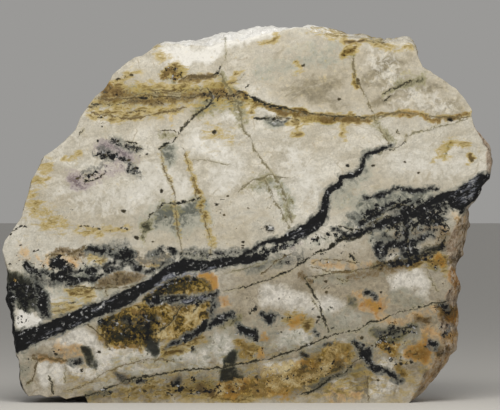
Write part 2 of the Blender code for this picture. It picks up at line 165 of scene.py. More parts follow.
# Cracks and hairline seams, as darkness and points. Darkness 0 is grey-green, 0.5 rusty and 1 black.
CRACKS = (
    (.85, 377.5, 151.4, .5, 386.6, 150.6, .5, 395, 149, .5, 400.7, 146.4, .6, 405.7, 141.5, .6),
    (.9, 395, 203.7, .4, 405, 206, .5, 416, 208, .5),
    (.9, 362, 235, 1.8, 353, 239, 1.6, 343, 239.4, 1.2, 337, 242, 1.4, 331, 246.4, 1.6, 324, 250.6, 1.1,
     315.5, 253, .8, 309.7, 257, 1.2, 304.7, 261.4, 1.7, 298, 264.4, 1.1, 290.6, 270.5, .8, 282, 274.6, .7,
     270, 279, .7, 257, 283, .7, 245, 286.7, .6, 224, 291, .6),
    (.6, 291, 253, .5, 278, 259.7, .6, 270, 266, .7, 261, 274.6, 1),
    (.2, 268, 262, .5, 255, 264.5, .7, 237, 270.5, .8, 224, 273, .7),
    (.7, 304.7, 278, .7, 317, 276, .8, 328, 274, .7, 340, 272, .8, 353, 271, .7, 365, 269.7, .8, 375,
     266.5, 1.2, 387, 263.4, 1.4, 395, 261.5, 1.6, 405, 261.5, 1.6, 416, 257, 1.6, 424, 255.5, 1.8, 435,
     252, 1.8, 441, 246, 1.8, 446, 240, 1.4), (.6, 336, 278, .4, 344.5, 280, .5, 354.5, 282, .4),
    (1, 349, 253.6, .4, 352.4, 257, 1.3, 355.6, 260, .4),
    (.85, 304.7, 278, 1.2, 309, 285, .9, 312, 291, 1, 315.5, 296, .9, 319, 302, .8, 320.5, 308, .9, 323.8,
     318, 1.2, 326, 324, .8, 329.6, 332, .7), (.3, 311, 297, .5, 313.6, 301, .6, 319, 310, .5),
    (.85, 446, 301.6, .6, 434, 303, .8, 428, 305, .8, 420, 308, .9, 411.5, 310, 1.1, 400, 311.4, .9, 392,
     314.4, .9, 385, 319, 1.1, 378, 321.6, .9, 370, 322, .9, 365, 325.7, .9, 357, 330.7, 1, 344.5, 332, .9,
     332, 335, 1, 320, 340, 1, 307, 345.6, .9, 295, 350.6, 1, 282, 354.7, .9, 270, 358, .8, 257, 361, .8,
     245, 362.6, .8, 220, 368, .8, 208, 369, .8, 195.5, 369.7, .8, 183, 370.5, .8, 175, 372, .7, 162, 374,
     .8, 150, 376, .9, 137, 378, 1.1, 125, 380, 1.4, 118, 384, 1, 110, 388, .9, 99.5, 391.5, .8, 85.4, 396,
     .8),
    (.45, 66, 390, .5, 78, 388, .6, 85, 384.6, .5, 93, 381, .6, 99.5, 376, .5, 110, 370.5, .6, 120, 366,
     .5, 129, 364, .5, 139, 361, .6, 152, 359, .6, 166.5, 359.7, .5, 175, 361, .5),
    (.75, 52, 307, .5, 57, 305.6, .8, 63, 305, .6, 70, 303, .9, 76, 302, .5),
    (.5, 50, 312, .4, 62, 309, .6, 74, 308, .4),
    (.55, 33, 357, .8, 37, 360.4, 1.2, 45, 358.4, .9, 53, 360, 1, 61, 359.6, .9, 67, 361, .9),
    (.9, 296, 395.6, .6, 305, 393, .9, 315.5, 390, 1.1, 324, 383, .9, 332, 376.6, 1, 343, 374, .9, 351,
     366, 1.2, 359, 359, 1.4), (.9, 353.6, 343, .5, 357, 348, .9, 361, 353, 1),
    (.9, 376, 341.4, .6, 390, 333.6, .9, 399, 329.6, .9, 410, 326.4, .8, 417, 326.8, .5),
    (.8, 183, 303, .5, 177, 313, .9, 171, 323, 1, 163, 329, 1, 157, 334, .6),
    (.7, 201, 303, .4, 196, 309, .7, 192, 313, .5),
    (.62, 88, 324, .5, 96, 331, .9, 104, 338, .9, 108, 346, .8, 111, 351, .5),
    (1, 10, 357, .6, 11, 350, .9, 14, 341, .9, 17, 336, .6),
    # Thin lines of the black web.
    (1, 339, 226, .6, 349, 229, 1.1, 362, 231, .9, 371, 234, .6),
    (1, 362, 222, .8, 368, 216, 1.3, 374, 211, 1.2, 381, 208, .6),
    (1, 382, 215, .7, 394, 208, 1.2, 403, 206, .7),
    (1, 403, 222, .7, 408, 234, 1.3, 406, 246, 1.2, 411, 256, .8),
    (1, 422, 218, .6, 435, 221, 1, 449, 220, .7), (.9, 419, 222, .6, 414, 227, .9, 411, 232, .5),
    (.9, 425, 251, .6, 438, 249.6, 1.1, 443, 243, 1, 447, 236, .6),
    (.8, 366, 226, .5, 380, 219, .8, 392, 216, .6), (.8, 386, 232, .5, 394, 226, .8, 402, 224, .6),
    (.55, 312, 262, .4, 328, 259, .6, 346, 261, .6, 362, 264, .5),
    (.5, 310, 267, .4, 330, 271, .6, 352, 272, .6, 372, 269, .5),
    (.55, 367, 376, .5, 368, 388, .8, 369, 402, .5),
    # Rusty seams in the upper part.
    (.6, 87, 107, .6, 91, 106, .9, 97, 104.5, .8, 105, 104, .7, 116, 105, .6, 128, 103, .5),
    (.5, 91, 112, .7, 97, 115, 1, 108, 115, 1, 120, 118, 1.1, 135, 118, 1, 147, 116, .9, 160, 113, .8, 175,
     110, .7, 186, 107, .6), (.55, 128, 112, .7, 136, 111.5, 1.2, 146, 111.5, .8),
    (.6, 122, 99, .6, 132, 98, .8, 141, 98, .8),
    (.52, 143, 91, .6, 155, 90, .8, 170, 91, .9, 182, 91, .8, 195, 90, .8, 208, 89, .6),
    (.6, 138, 97, .8, 148, 95, .8, 160, 98, .9, 172, 96, .9, 190, 98, .9, 205, 94, .9, 212, 97, 1, 225, 96,
     1, 236, 95, 1, 243, 92, .8), (.5, 150, 94, .4, 160, 92.5, .6, 172, 93.5, .6, 186, 94, .5),
    (.5, 97, 98.5, .5, 108, 99.5, .8, 121, 98, .6),
    (.9, 207, 89, .5, 210, 92, .9, 213, 97, 1.1, 211, 103, 1, 205, 108, .8),
    (.58, 182, 79, .9, 190, 75.6, 1.5, 200, 76, 1.5, 208, 77, 1.4, 216, 75, 1.2),
    (1, 221.5, 64, .9, 219.6, 68, 1.3, 217.4, 71, 1.1, 218.4, 73, 1, 214, 74.6, 1),
    (.5, 244, 73, .4, 240, 78, .6, 237, 81, .7, 231, 84, .5), (.95, 246, 88, .8, 249, 85, .9),
    (.95, 238, 91, 1.2, 245, 94.6, 1.5, 255, 99, 2, 261.6, 102.6, 2.4, 268, 104.8, 2.2, 275, 106, 1.8, 282,
     107.6, 1.5, 289, 110, 1.3, 297, 112, .9),
    (.7, 284, 108, .9, 299, 112, .8, 311, 113.6, .8, 324, 115, .9, 336, 116.4, .9, 353, 117, .9, 370, 117,
     .8),
    (.4, 370, 117, .8, 382, 116, .8, 393, 113, .7, 398, 112, .7, 410, 113, .6, 424, 115.4, .6, 440.5, 117,
     .6, 465, 118, .6, 472, 116, .6), (.6, 276, 116, .5, 290, 119, .8, 300, 121, .6),
    (.8, 334, 121, .5, 336, 117, .9, 338, 115, .6), (.7, 398, 130, .4, 397, 133, .7, 400, 134, .5),
    (.6, 366, 40.6, .5, 374, 42.6, .7, 384, 43.6, .5),
    (.9, 254, 118.4, .7, 262, 118.6, 1, 272, 118.4, 1.2, 284, 118.6, .9),
    (.8, 211, 103, .9, 203, 110, 1, 196, 115, .8, 192, 118, .9, 187, 124, 1, 181, 130, .8, 178, 135, .9),
    (1, 177, 137, .9, 173, 141, 1.5, 167, 143.6, 1.4, 162, 147, 1.2, 159, 150, .8),
    (.7, 157, 132.5, .5, 163, 130.8, .8, 170, 130.6, .8, 176, 132, .5),
    (.45, 160.7, 150, .35, 162, 158, .42, 164, 168, .49, 168, 178, .56, 172, 184, .49, 174, 191, .63, 175,
     201, .49, 175, 205, .49, 177, 217, .42, 178, 228, .42, 180, 240, .42, 182, 253, .35),
    (.5, 183, 148, .42, 186, 158, .72, 189, 170.5, .48, 192, 180, .42, 195, 190, .48, 197, 199, .48, 201,
     210, .48, 205, 221, .48, 208, 231.5, .42, 211, 243, .42, 211, 256, .3),
    (1, 203, 197.6, .5, 196, 200, .9, 186, 202, .9, 175, 204.4, 1.2, 165, 202.6, 1.3, 160, 207, 1.3, 153,
     213, 1.4, 147, 219, 1.3, 144, 224, 1),
    (.3, 238.6, 192, .6, 241, 189.6, .7, 244, 185, .6, 249, 183, .7, 255, 180, .7, 261.6, 178, .8, 268,
     174.8, .7, 272, 174.6, .7, 276.5, 177, .7, 283, 178, .6, 290, 178, .4),
    (.3, 221, 73, .8, 224, 83, 1, 229.5, 87.6, .9, 232, 94, .8, 237, 102, .9, 241, 114, .9, 241, 121.6, 1,
     244, 130, .8, 249, 136.5, 1, 252, 143, .7, 255.8, 151, .7, 261.6, 160, .7, 267, 166, .7, 272, 173, .8,
     276, 178.6, .8, 280, 184.6, .8, 283, 192, .9, 286.5, 202, .9, 288, 210, 1, 290.6, 216.6, 1, 292, 222,
     .8),
    (.3, 264, 177, .5, 265.7, 181, .8, 270.7, 191, .8, 272.4, 200, .7, 279, 206.6, .8, 281.5, 214, .8,
     285.6, 221, .8, 290, 228, .7),
    (.36, 353, 58, .5, 355, 74.6, .8, 359, 84.6, 1.1, 363.6, 93, .7, 368, 101, .7, 371, 110, .7, 374, 115,
     .8, 377.5, 122, .6, 381.6, 131, .6, 386.6, 140, .6, 389, 143.6, .5),
    (.25, 468, 118, .4, 453, 123.6, .5, 440.5, 126, .6, 428, 130, .5, 415.6, 133, .6, 406, 136.5, .6, 405,
     141, .5), (.75, 382, 94, .5, 389, 90.4, .8, 397, 87.4, .9, 405, 83, .8, 412, 80, .6),
    (.8, 383.6, 101.4, .5, 388, 98.6, .8, 391.6, 96, .5), (.2, 224.5, 39, .4, 226, 53, .6, 225, 61, .5),
    (.3, 191, 160, .4, 204, 160.5, .4, 216, 162, .4, 231, 165.5, .4),
    (.6, 37, 362, .8, 35.4, 369, 1, 33.6, 377, .9, 30, 383, .8, 25, 385, .6),
    (.75, 48.5, 375, .6, 50.4, 379, 1.1, 52.4, 386, 1.2, 52, 390, .8, 53.6, 394, .5),
    (.3, 64.7, 365.5, .4, 65.5, 375, .6, 66, 384, .4),
    (.3, 424, 263, .4, 428, 272, .6, 433, 283, .7, 438, 292, .5),
    (.55, 45, 256, .4, 54, 254.5, .8, 66, 255.5, 1, 73, 253, 1, 80, 249, .9, 86, 245, .5),
    (.62, 147, 282, .5, 138, 285.5, .7, 126, 287, .8, 108, 288, .9, 96, 288, .9, 82, 287, .8, 70, 286.6,
     .6), (.6, 107, 289, .4, 106, 293, .6, 109, 296, .4), (.8, 84.6, 129, .6, 81, 133, .9, 78, 136, .5),
    (.8, 104, 104.6, .4, 98, 104.4, .8, 91, 105, .5), (.9, 125, 141.5, .5, 131, 142.4, .7, 137, 143.4, .5),
    (.9, 125, 147, .5, 133, 148, .8, 141, 148, .5),
    (.9, 105, 172, .4, 101, 176, .7, 93, 180, .7, 84, 182, .5),
)

# Flecks and blebs, as (across, down, half length, half width, turn in degrees, darkness).
# Darkness 1 is black, 0.5 is brown.
FLECKS = (
    (269, 229, 5.4, 3.8, -12, .95), (21, 226, 1.6, .9, 20, 1), (26, 227, 1.4, .9, -20, 1),
    (16, 229, 1.2, .9, 0, .9), (11, 234, 1.2, .8, 40, .9), (21, 245, 1.6, 1, 0, 1),
    (34, 251, 1.2, .8, 0, .9), (38, 250, 1, .8, 0, .9), (80, 226.5, 1.8, 1, 10, .9),
    (88, 226, 1.4, .8, 0, .8), (99, 229, 1.6, .9, -10, .9), (121.5, 228, 2.2, 1.1, 20, 1),
    (127, 229, 1.4, 1, 0, .9), (147, 154, 1.4, 1, 30, .9), (161.5, 191, 1.3, 1.8, 0, .9),
    (217, 204.5, 2.2, 1.7, 10, .9), (248, 208, 1.4, 1, 0, .7), (165.6, 217, 1.4, 1.3, 0, 1),
    (137, 238, 2.4, 1.6, -20, .9), (153, 241.5, 1.6, 1, 0, .8), (224, 215, 1.4, 1, 0, .6),
    (243, 242, 1.3, 1, 0, .9), (243, 248, 1.4, 1, 0, .9), (228, 196, 1.4, 1, 0, .7),
    (348, 166, 1.9, 1.6, -60, 1), (373, 165.5, 1.6, 1.1, 20, .9), (405, 162, 1.4, 1, 0, .8),
    (418.5, 173, 1.4, 1, 0, .8), (303, 65.5, 1.8, 1.3, 30, .8), (339.5, 99, 1.6, 1, 10, .8),
    (318, 238, 1.2, 1.6, 0, .9), (326, 291.6, 1.5, 1.3, 0, .7), (450.5, 119.8, 3.4, 1.8, 0, 1),
    (214, 132, 2.6, 1.9, 20, .9), (143.5, 98, 3.6, 1.3, 0, .95), (101, 117.5, 2.8, 1.1, 0, .9),
    (118, 79, 3, 1.3, 10, .85), (131, 75, 2, 1, 0, .7), (246, 98, 1.6, 1.2, 0, .8),
    (358, 81, 2.2, 3, 0, .62), (472, 160.4, 2, 1.6, 0, .55), (124, 211, 2.4, 1.8, 0, .85),
    (98, 141, 1.2, 1.2, 0, 1), (102, 126.4, 1, 1, 0, .9), (193, 349, 2.4, 2.8, 0, .95),
    (255, 309, 2, 2.4, 0, 1), (250, 313, 1.6, 1.6, 0, .9), (306, 356, 2.4, 1.8, 0, 1),
    (302, 354, 1.6, 1.4, 0, .9), (438, 355, 1.7, 2.2, 20, .8), (401, 363.6, 1.9, 1.5, 0, .95),
    (411, 362.4, 1.7, 1.7, 0, .95), (281, 332, 1.2, 1, 0, .9), (290, 317.6, 1, 1, 0, .9),
    (282, 318, 1.3, 1, 0, .9), (379.6, 308, 1.4, 1, 10, 1), (381, 292, 1.6, 1.2, 0, .9),
    (386, 349, 1.5, 1.4, 0, .85), (390, 352, 1.4, 1.2, 0, .85), (398.6, 328.6, 1.6, 1.4, 0, .95),
    (82, 370, 1.6, 2, 0, .9), (55.6, 354, 1.8, 1.4, 0, .9), (99, 352, 2, 1.6, 0, .85),
    (319, 317, 1.8, 1.2, 0, .9), (317, 322, 1.4, 1.4, 0, .9), (372.4, 345.6, 1.4, 1.2, 0, .8),
    (362, 338, 1.5, 1.6, 0, .8), (258, 391, 1.6, 1.6, 0, .9), (256, 377, 1.8, 2, 0, .8),
    (145, 391, 2, 1.3, 0, .8), (168, 386, 1.4, 1, 0, .7), (200, 391, 1.4, 1.1, 0, .8),
    (378, 380, 1.6, 1, 10, .8), (118, 141, 1.6, 1, 20, .9), (112, 157, 2.6, 1, 0, .9),
    (104, 155, 1.8, .9, 0, .85), (129, 160, 2.2, 1.1, 15, .8), (136, 168, 2.2, 1, 10, .8),
    (78, 178, 3, 1.4, 20, .7), (92, 175, 1.8, 1.1, 0, .8), (325.4, 281.6, 1.6, 1.2, 0, .8),
)

# Stains by kind, as strength, softness and points.
STAINS = {}

# Haze: ground more mottled than the clean quartz in the middle.
STAINS["haze"] = (
    (.6, 6, 438, 222, 6, 444, 238, 5), (.9, 3, 98, 283, 3, 114, 279, 5, 132, 274, 6, 142, 273, 3),
    (.6, 5, 360, 392, 6, 392, 393, 7), (.6, 6, 365, 76, 4, 390, 67, 5, 412, 56, 3),
    (.6, 6, 376, 101, 4, 410, 89, 6, 440, 84, 4), (.5, 8, 285, 92, 7, 312, 84, 8, 336, 78, 5),
    (.35, 20, 280, 55, 20, 350, 70, 34, 430, 95, 24), (.5, 14, 110, 90, 14, 160, 100, 16, 220, 95, 12),
    (.3, 16, 60, 215, 20, 120, 225, 20, 200, 235, 16, 260, 225, 14),
    (.4, 12, 320, 200, 10, 380, 195, 18, 430, 200, 18, 380, 240, 14),
    (.5, 16, 60, 350, 24, 150, 370, 26, 250, 370, 30, 340, 370, 30, 420, 350, 24),
    (.6, 5, 100, 393, 7, 180, 389, 10, 250, 388, 12, 310, 380, 14, 350, 378, 20),
    (.4, 16, 250, 290, 20, 320, 290, 26, 400, 285, 26, 430, 320, 20),
    # The first stroke on the next line, at the upper vein's right end, is a painted soft shadow.
    (.5, 6, 428, 108, 5, 446, 106, 6, 462, 112, 5), (.45, 6, 300, 92, 8, 325, 96, 10, 340, 106, 8),
    (.4, 8, 385, 60, 10, 398, 72, 8, 378, 82, 8), (.5, 6, 214, 314, 6, 240, 312, 6),
)

# White: quartz full of tiny bubbles.
STAINS["white"] = (
    (.7, 3, 332, 380, 4, 350, 384, 5), (.9, 4, 270, 366, 4, 290, 366, 5), (.8, 5, 290, 336, 7, 306, 340, 5),
    (.7, 6, 330, 305, 8, 270, 296, 9), (.3, 6, 400, 284, 8, 424, 290, 7), (.4, 4, 395, 368, 5),
    (.7, 4, 222, 338, 6, 226, 350, 4), (.8, 4, 108, 356, 8, 134, 352, 7, 160, 352, 6, 190, 350, 6),
    (.7, 4, 100, 370, 6, 130, 368, 5, 150, 366, 4),
    # The next stroke, under the top outline, whitens the top bevel and the band below it: partly white
    # quartz, partly a painted highlight where the bevel faces the light.
    (.9, 5, 168, 52, 7, 186, 56, 10, 206, 54, 8, 230, 42, 6, 250, 35, 4, 270, 31, 3),
    (.6, 2, 262, 112, 2, 272, 113, 2.4), (.5, 4, 225, 114, 4, 236, 116, 3),
    (.5, 8, 196, 140, 8, 220, 150, 10, 236, 168, 8, 220, 180, 8),
    (.4, 8, 190, 190, 5, 150, 170, 8, 140, 190, 8), (.35, 10, 300, 170, 10, 310, 195, 10, 290, 150, 8),
    (.35, 8, 400, 160, 8, 430, 168, 8, 460, 166, 8), (.2, 12, 380, 60, 12, 400, 95, 10, 440, 105, 8),
    (.3, 8, 130, 200, 10, 90, 200, 10, 60, 190, 8), (.5, 3, 124, 270, 3, 138, 270, 4, 144, 275, 3),
    (.6, 3, 46, 296, 3, 54, 300, 5, 60, 298, 4), (.95, 2, 24, 314, 4, 30, 319, 6, 36, 323, 5, 24, 324, 5),
    (.8, 3, 60, 340, 4, 76, 333, 7, 90, 340, 8, 100, 350, 5), (.5, 3, 38, 346, 4, 50, 342, 4),
    (.9, 1.4, 102, 320, 3), (.85, 3, 44, 368, 5, 44, 380, 5, 60, 370, 6, 62, 382, 5),
    (.85, 4, 76, 368, 6, 88, 374, 5, 100, 364, 6, 112, 356, 6),
    (.55, 3, 98, 386, 4, 120, 376, 4, 112, 380, 4), (.6, 3, 140, 368, 3, 164, 366, 3),
    (.8, 3, 176, 362, 3, 190, 357, 4, 206, 360, 5, 192, 366, 4),
    (.9, 2.5, 206, 352, 4, 212, 350, 5, 220, 340, 5, 230, 342, 5, 222, 360, 4, 218, 348, 5),
    (.5, 2.4, 308, 268, 2, 326, 270, 2.6, 344, 268, 2), (.7, 3, 324, 305, 3, 332, 307, 4, 340, 308, 3),
    (.3, 6, 270, 300, 8, 290, 300, 8), (.75, 5, 398, 284, 6, 414, 278, 8, 424, 286, 7),
    (.4, 4, 344, 320, 4, 356, 318, 4), (.8, 3, 298, 337, 4, 306, 339, 5, 312, 334, 3),
    (.6, 3, 276, 344, 4, 284, 340, 4), (.85, 3, 272, 366, 4, 284, 366, 5, 296, 362, 3, 290, 370, 4),
    (.6, 2.4, 336, 342, 3, 345, 346, 2.4), (.5, 4, 378, 382, 5, 376, 396, 5, 392, 386, 5),
    (.8, 3, 380, 362, 4, 388, 366, 5, 376, 368, 3), (.6, 2.4, 401, 352, 3, 404, 357, 2.4),
    (.5, 3, 376, 242, 3, 390, 258, 4, 414, 248, 3), (.5, 3, 120, 386, 3, 150, 384, 3, 170, 386, 3),
)

# Grey: clear quartz, and fine ore in it beside the seams.
STAINS["grey"] = (
    (.85, 5, 160, 211, 3, 170, 210, 5, 184, 208, 5, 200, 206, 4),
    (.6, 7, 160, 222, 6, 178, 222, 9, 198, 218, 7), (.8, 4, 168, 147, 4, 171, 156, 5, 170, 166, 3),
    (.3, 8, 262, 70, 6, 300, 58, 8, 340, 52, 8), (.9, 3, 264, 122, 2, 273, 125, 4, 284, 121, 2),
    (.55, 5, 331, 196, 3, 340, 189, 3, 350, 183, 3, 364, 178, 4, 370, 164, 4, 372, 156, 3),
    (.3, 20, 120, 380, 16, 220, 350, 20, 320, 340, 22, 400, 330, 22), (.25, 16, 60, 290, 16, 120, 285, 12),
    (.5, 7, 160, 210, 5, 154, 216, 7, 148, 224, 6, 170, 210, 5),
    (.45, 5, 258, 184, 4, 270, 182, 6, 280, 186, 6, 284, 198, 5, 288, 210, 4),
    (.35, 10, 345, 200, 8, 370, 204, 10, 395, 198, 8, 420, 197, 6),
    (.3, 8, 108, 146, 7, 122, 148, 8, 130, 158, 6), (.7, 3, 84, 266, 3, 92, 266, 2.4),
    (.8, 3, 78, 275, 3, 86, 274, 4, 96, 273, 3), (.7, 4, 30, 269, 4, 40, 272, 4, 50, 271, 4),
    (.5, 3, 92, 284, 3, 112, 282, 4), (.35, 4, 26, 352, 5, 36, 350, 4), (.35, 5, 24, 368, 5, 22, 380, 4),
    (.5, 4, 256, 256, 4, 270, 250, 5, 286, 246, 4, 296, 243, 3),
    (.6, 3, 250, 268, 3, 264, 267, 4, 280, 262, 3), (.35, 4, 310, 243, 4, 322, 240, 4, 334, 236, 4),
    (.35, 4, 316, 278, 3, 340, 278, 4, 362, 275, 4, 384, 272, 4), (.3, 4, 392, 296, 4, 420, 300, 5),
    (.5, 3, 310, 350, 3, 320, 346, 3), (.5, 3, 386, 334, 4, 398, 334, 4, 408, 330, 3),
    (.7, 3, 446, 328, 4, 450, 336, 3), (.5, 6, 366, 206, 8, 392, 200, 8, 420, 198, 6),
    (.6, 5, 350, 222, 4, 372, 214, 6), (.5, 6, 376, 236, 6, 400, 232, 8, 424, 228, 7, 444, 222, 6),
)

# Violet: a tint of the upper left patch and of some blocks below the vein.
STAINS["violet"] = (
    (.35, 4, 106, 146, 4, 118, 142, 3), (.35, 4, 124, 156, 4, 134, 152, 3),
    (.5, 6, 102, 146, 4, 110, 150, 6, 122, 154, 5, 132, 158, 4),
    (.35, 6, 76, 180, 5, 90, 182, 6, 104, 174, 6, 120, 168, 6), (.35, 5, 74, 178, 4, 84, 184, 4, 76, 186, 3),
    (.35, 2, 222, 301, 4), (.35, 2.5, 290, 250, 2, 300, 240, 3),
)

# Peach: feldspar.
STAINS["peach"] = (
    (.25, 6, 22, 252, 5, 30, 258, 6), (.4, 5, 48, 258, 5, 60, 261, 6, 74, 262, 4),
    (.4, 5, 60, 344, 4, 68, 352, 6, 78, 350, 5),
    (.95, 1.8, 42, 361, 1.6, 52, 362, 2.2, 60, 361, 2, 66, 362, 1.6),
    (1, 1.6, 201, 275, 1.6, 208, 274, 3.4, 214, 278, 4, 215, 284, 2.4), (.6, 2, 221, 300, 4, 224, 304, 4),
    (.35, 3, 312, 262, 2.4, 330, 264, 3, 350, 265, 3, 368, 266, 2.4),
    (.75, 3, 360, 308, 3, 370, 307, 5, 380, 304, 4, 376, 314, 2.4),
    (.35, 5, 350, 302, 4, 358, 296, 4, 386, 300, 4), (.4, 4, 376, 316, 3, 400, 322, 3, 430, 310, 4),
    (.3, 6, 330, 396, 5, 360, 394, 6), (.5, 5, 428, 332, 5, 440, 338, 5),
    (.9, 4, 446, 316, 5, 454, 318, 5, 458, 328, 4),
    (.6, 6, 446, 350, 6, 444, 364, 7, 432, 380, 7, 422, 394, 6),
    # The next stroke lies on the right wall: its orange skin, made strong as painted light where the wall
    # gets little light.
    (1, 3, 452, 278, 4, 456, 286, 5, 458, 292, 4),
    (.35, 5, 462, 214, 6, 466, 228, 6, 462, 246, 6, 458, 262, 5),
    (.3, 4, 395, 232, 4, 424, 236, 5, 440, 228, 4),
)

# Olive: chlorite and altered rock beside seams.
STAINS["olive"] = (
    (.5, 5, 184, 262, 6, 200, 262, 5), (.7, 3, 378, 334, 4, 396, 330, 4, 412, 328, 3, 384, 342, 4),
    (.8, 4, 380, 266, 3, 400, 261, 4.5, 420, 257, 4.5, 438, 249, 3.6),
    (.7, 2.4, 168, 74, 4, 178, 70, 3, 176, 78, 3), (.7, 3, 146, 226, 3, 150, 230, 4, 144, 238, 3),
    (.45, 4, 124, 96, 3, 146, 93, 4, 172, 94, 4, 206, 92, 4, 236, 94, 3),
    (.6, 2.4, 286, 113, 2, 310, 120, 2.4, 330, 122, 2),
    (.5, 4, 96, 100, 3, 120, 98, 5, 150, 97, 6, 200, 94, 6, 238, 97, 4),
    (.35, 5, 208, 104, 4, 222, 106, 5, 234, 104, 4),
    (.75, 2, 244, 96, 2, 256, 101, 2.6, 268, 105, 3, 280, 108, 2.6, 292, 111, 2, 306, 113, 1.6),
    (.5, 2, 290, 113, 1.6, 310, 119, 2, 330, 122, 2.6, 344, 120, 2),
    (.7, 2, 343, 52, 1.6, 348, 50, 2.4, 352, 53, 2), (.7, 1.6, 356, 76, 1.4, 359, 84, 1.8),
    (.5, 2, 384, 94, .8, 398, 88, 1.4, 412, 80, 1.6, 424, 77, 1),
    (.6, 2, 442, 156, 1.2, 446, 148, 1.6, 450, 143, 1.4), (.45, 3, 157, 134, 2, 165, 133, 3, 174, 134, 2.4),
    (.45, 4, 196, 112, 4, 206, 106, 4, 214, 104, 3),
    (.4, 4, 222, 74, 3, 226, 84, 4, 232, 96, 4, 238, 108, 4, 243, 124, 3),
    (.4, 4, 252, 182, 3, 264, 178, 3.5, 276, 178, 3), (.4, 3, 281, 190, 3, 286, 204, 3.4, 289, 216, 3),
    (.55, 3, 145, 232, 3, 147, 226, 4, 152, 221, 3), (.4, 4, 165, 205, 3, 178, 206, 3),
    (.4, 4, 377, 124, 3, 384, 136, 3.4, 392, 138, 5), (.3, 6, 420, 78, 6, 405, 81, 4),
    (.5, 3, 166, 356, 3, 178, 350, 4), (.5, 4, 222, 322, 4, 234, 322, 4, 238, 318, 3),
    (.4, 3, 236, 352, 2.4, 242, 358, 3), (.6, 3, 134, 380, 4, 146, 380, 3),
    (.5, 3, 198, 384, 3, 210, 382, 3), (.5, 3, 90, 395, 4, 100, 396, 4, 108, 393, 3),
    (.7, 2.4, 348, 300, 3, 350, 306, 3.4), (.5, 4, 306, 384, 5, 322, 378, 4, 288, 392, 4),
    (.35, 5, 342, 378, 5, 356, 372, 5), (.7, 2.5, 430, 266, 2.4, 436, 270, 2.4),
    (.8, 3, 406, 264, 3, 418, 260, 3), (.7, 3, 154, 298, 4, 172, 290, 5, 192, 288, 5, 208, 290, 3),
)

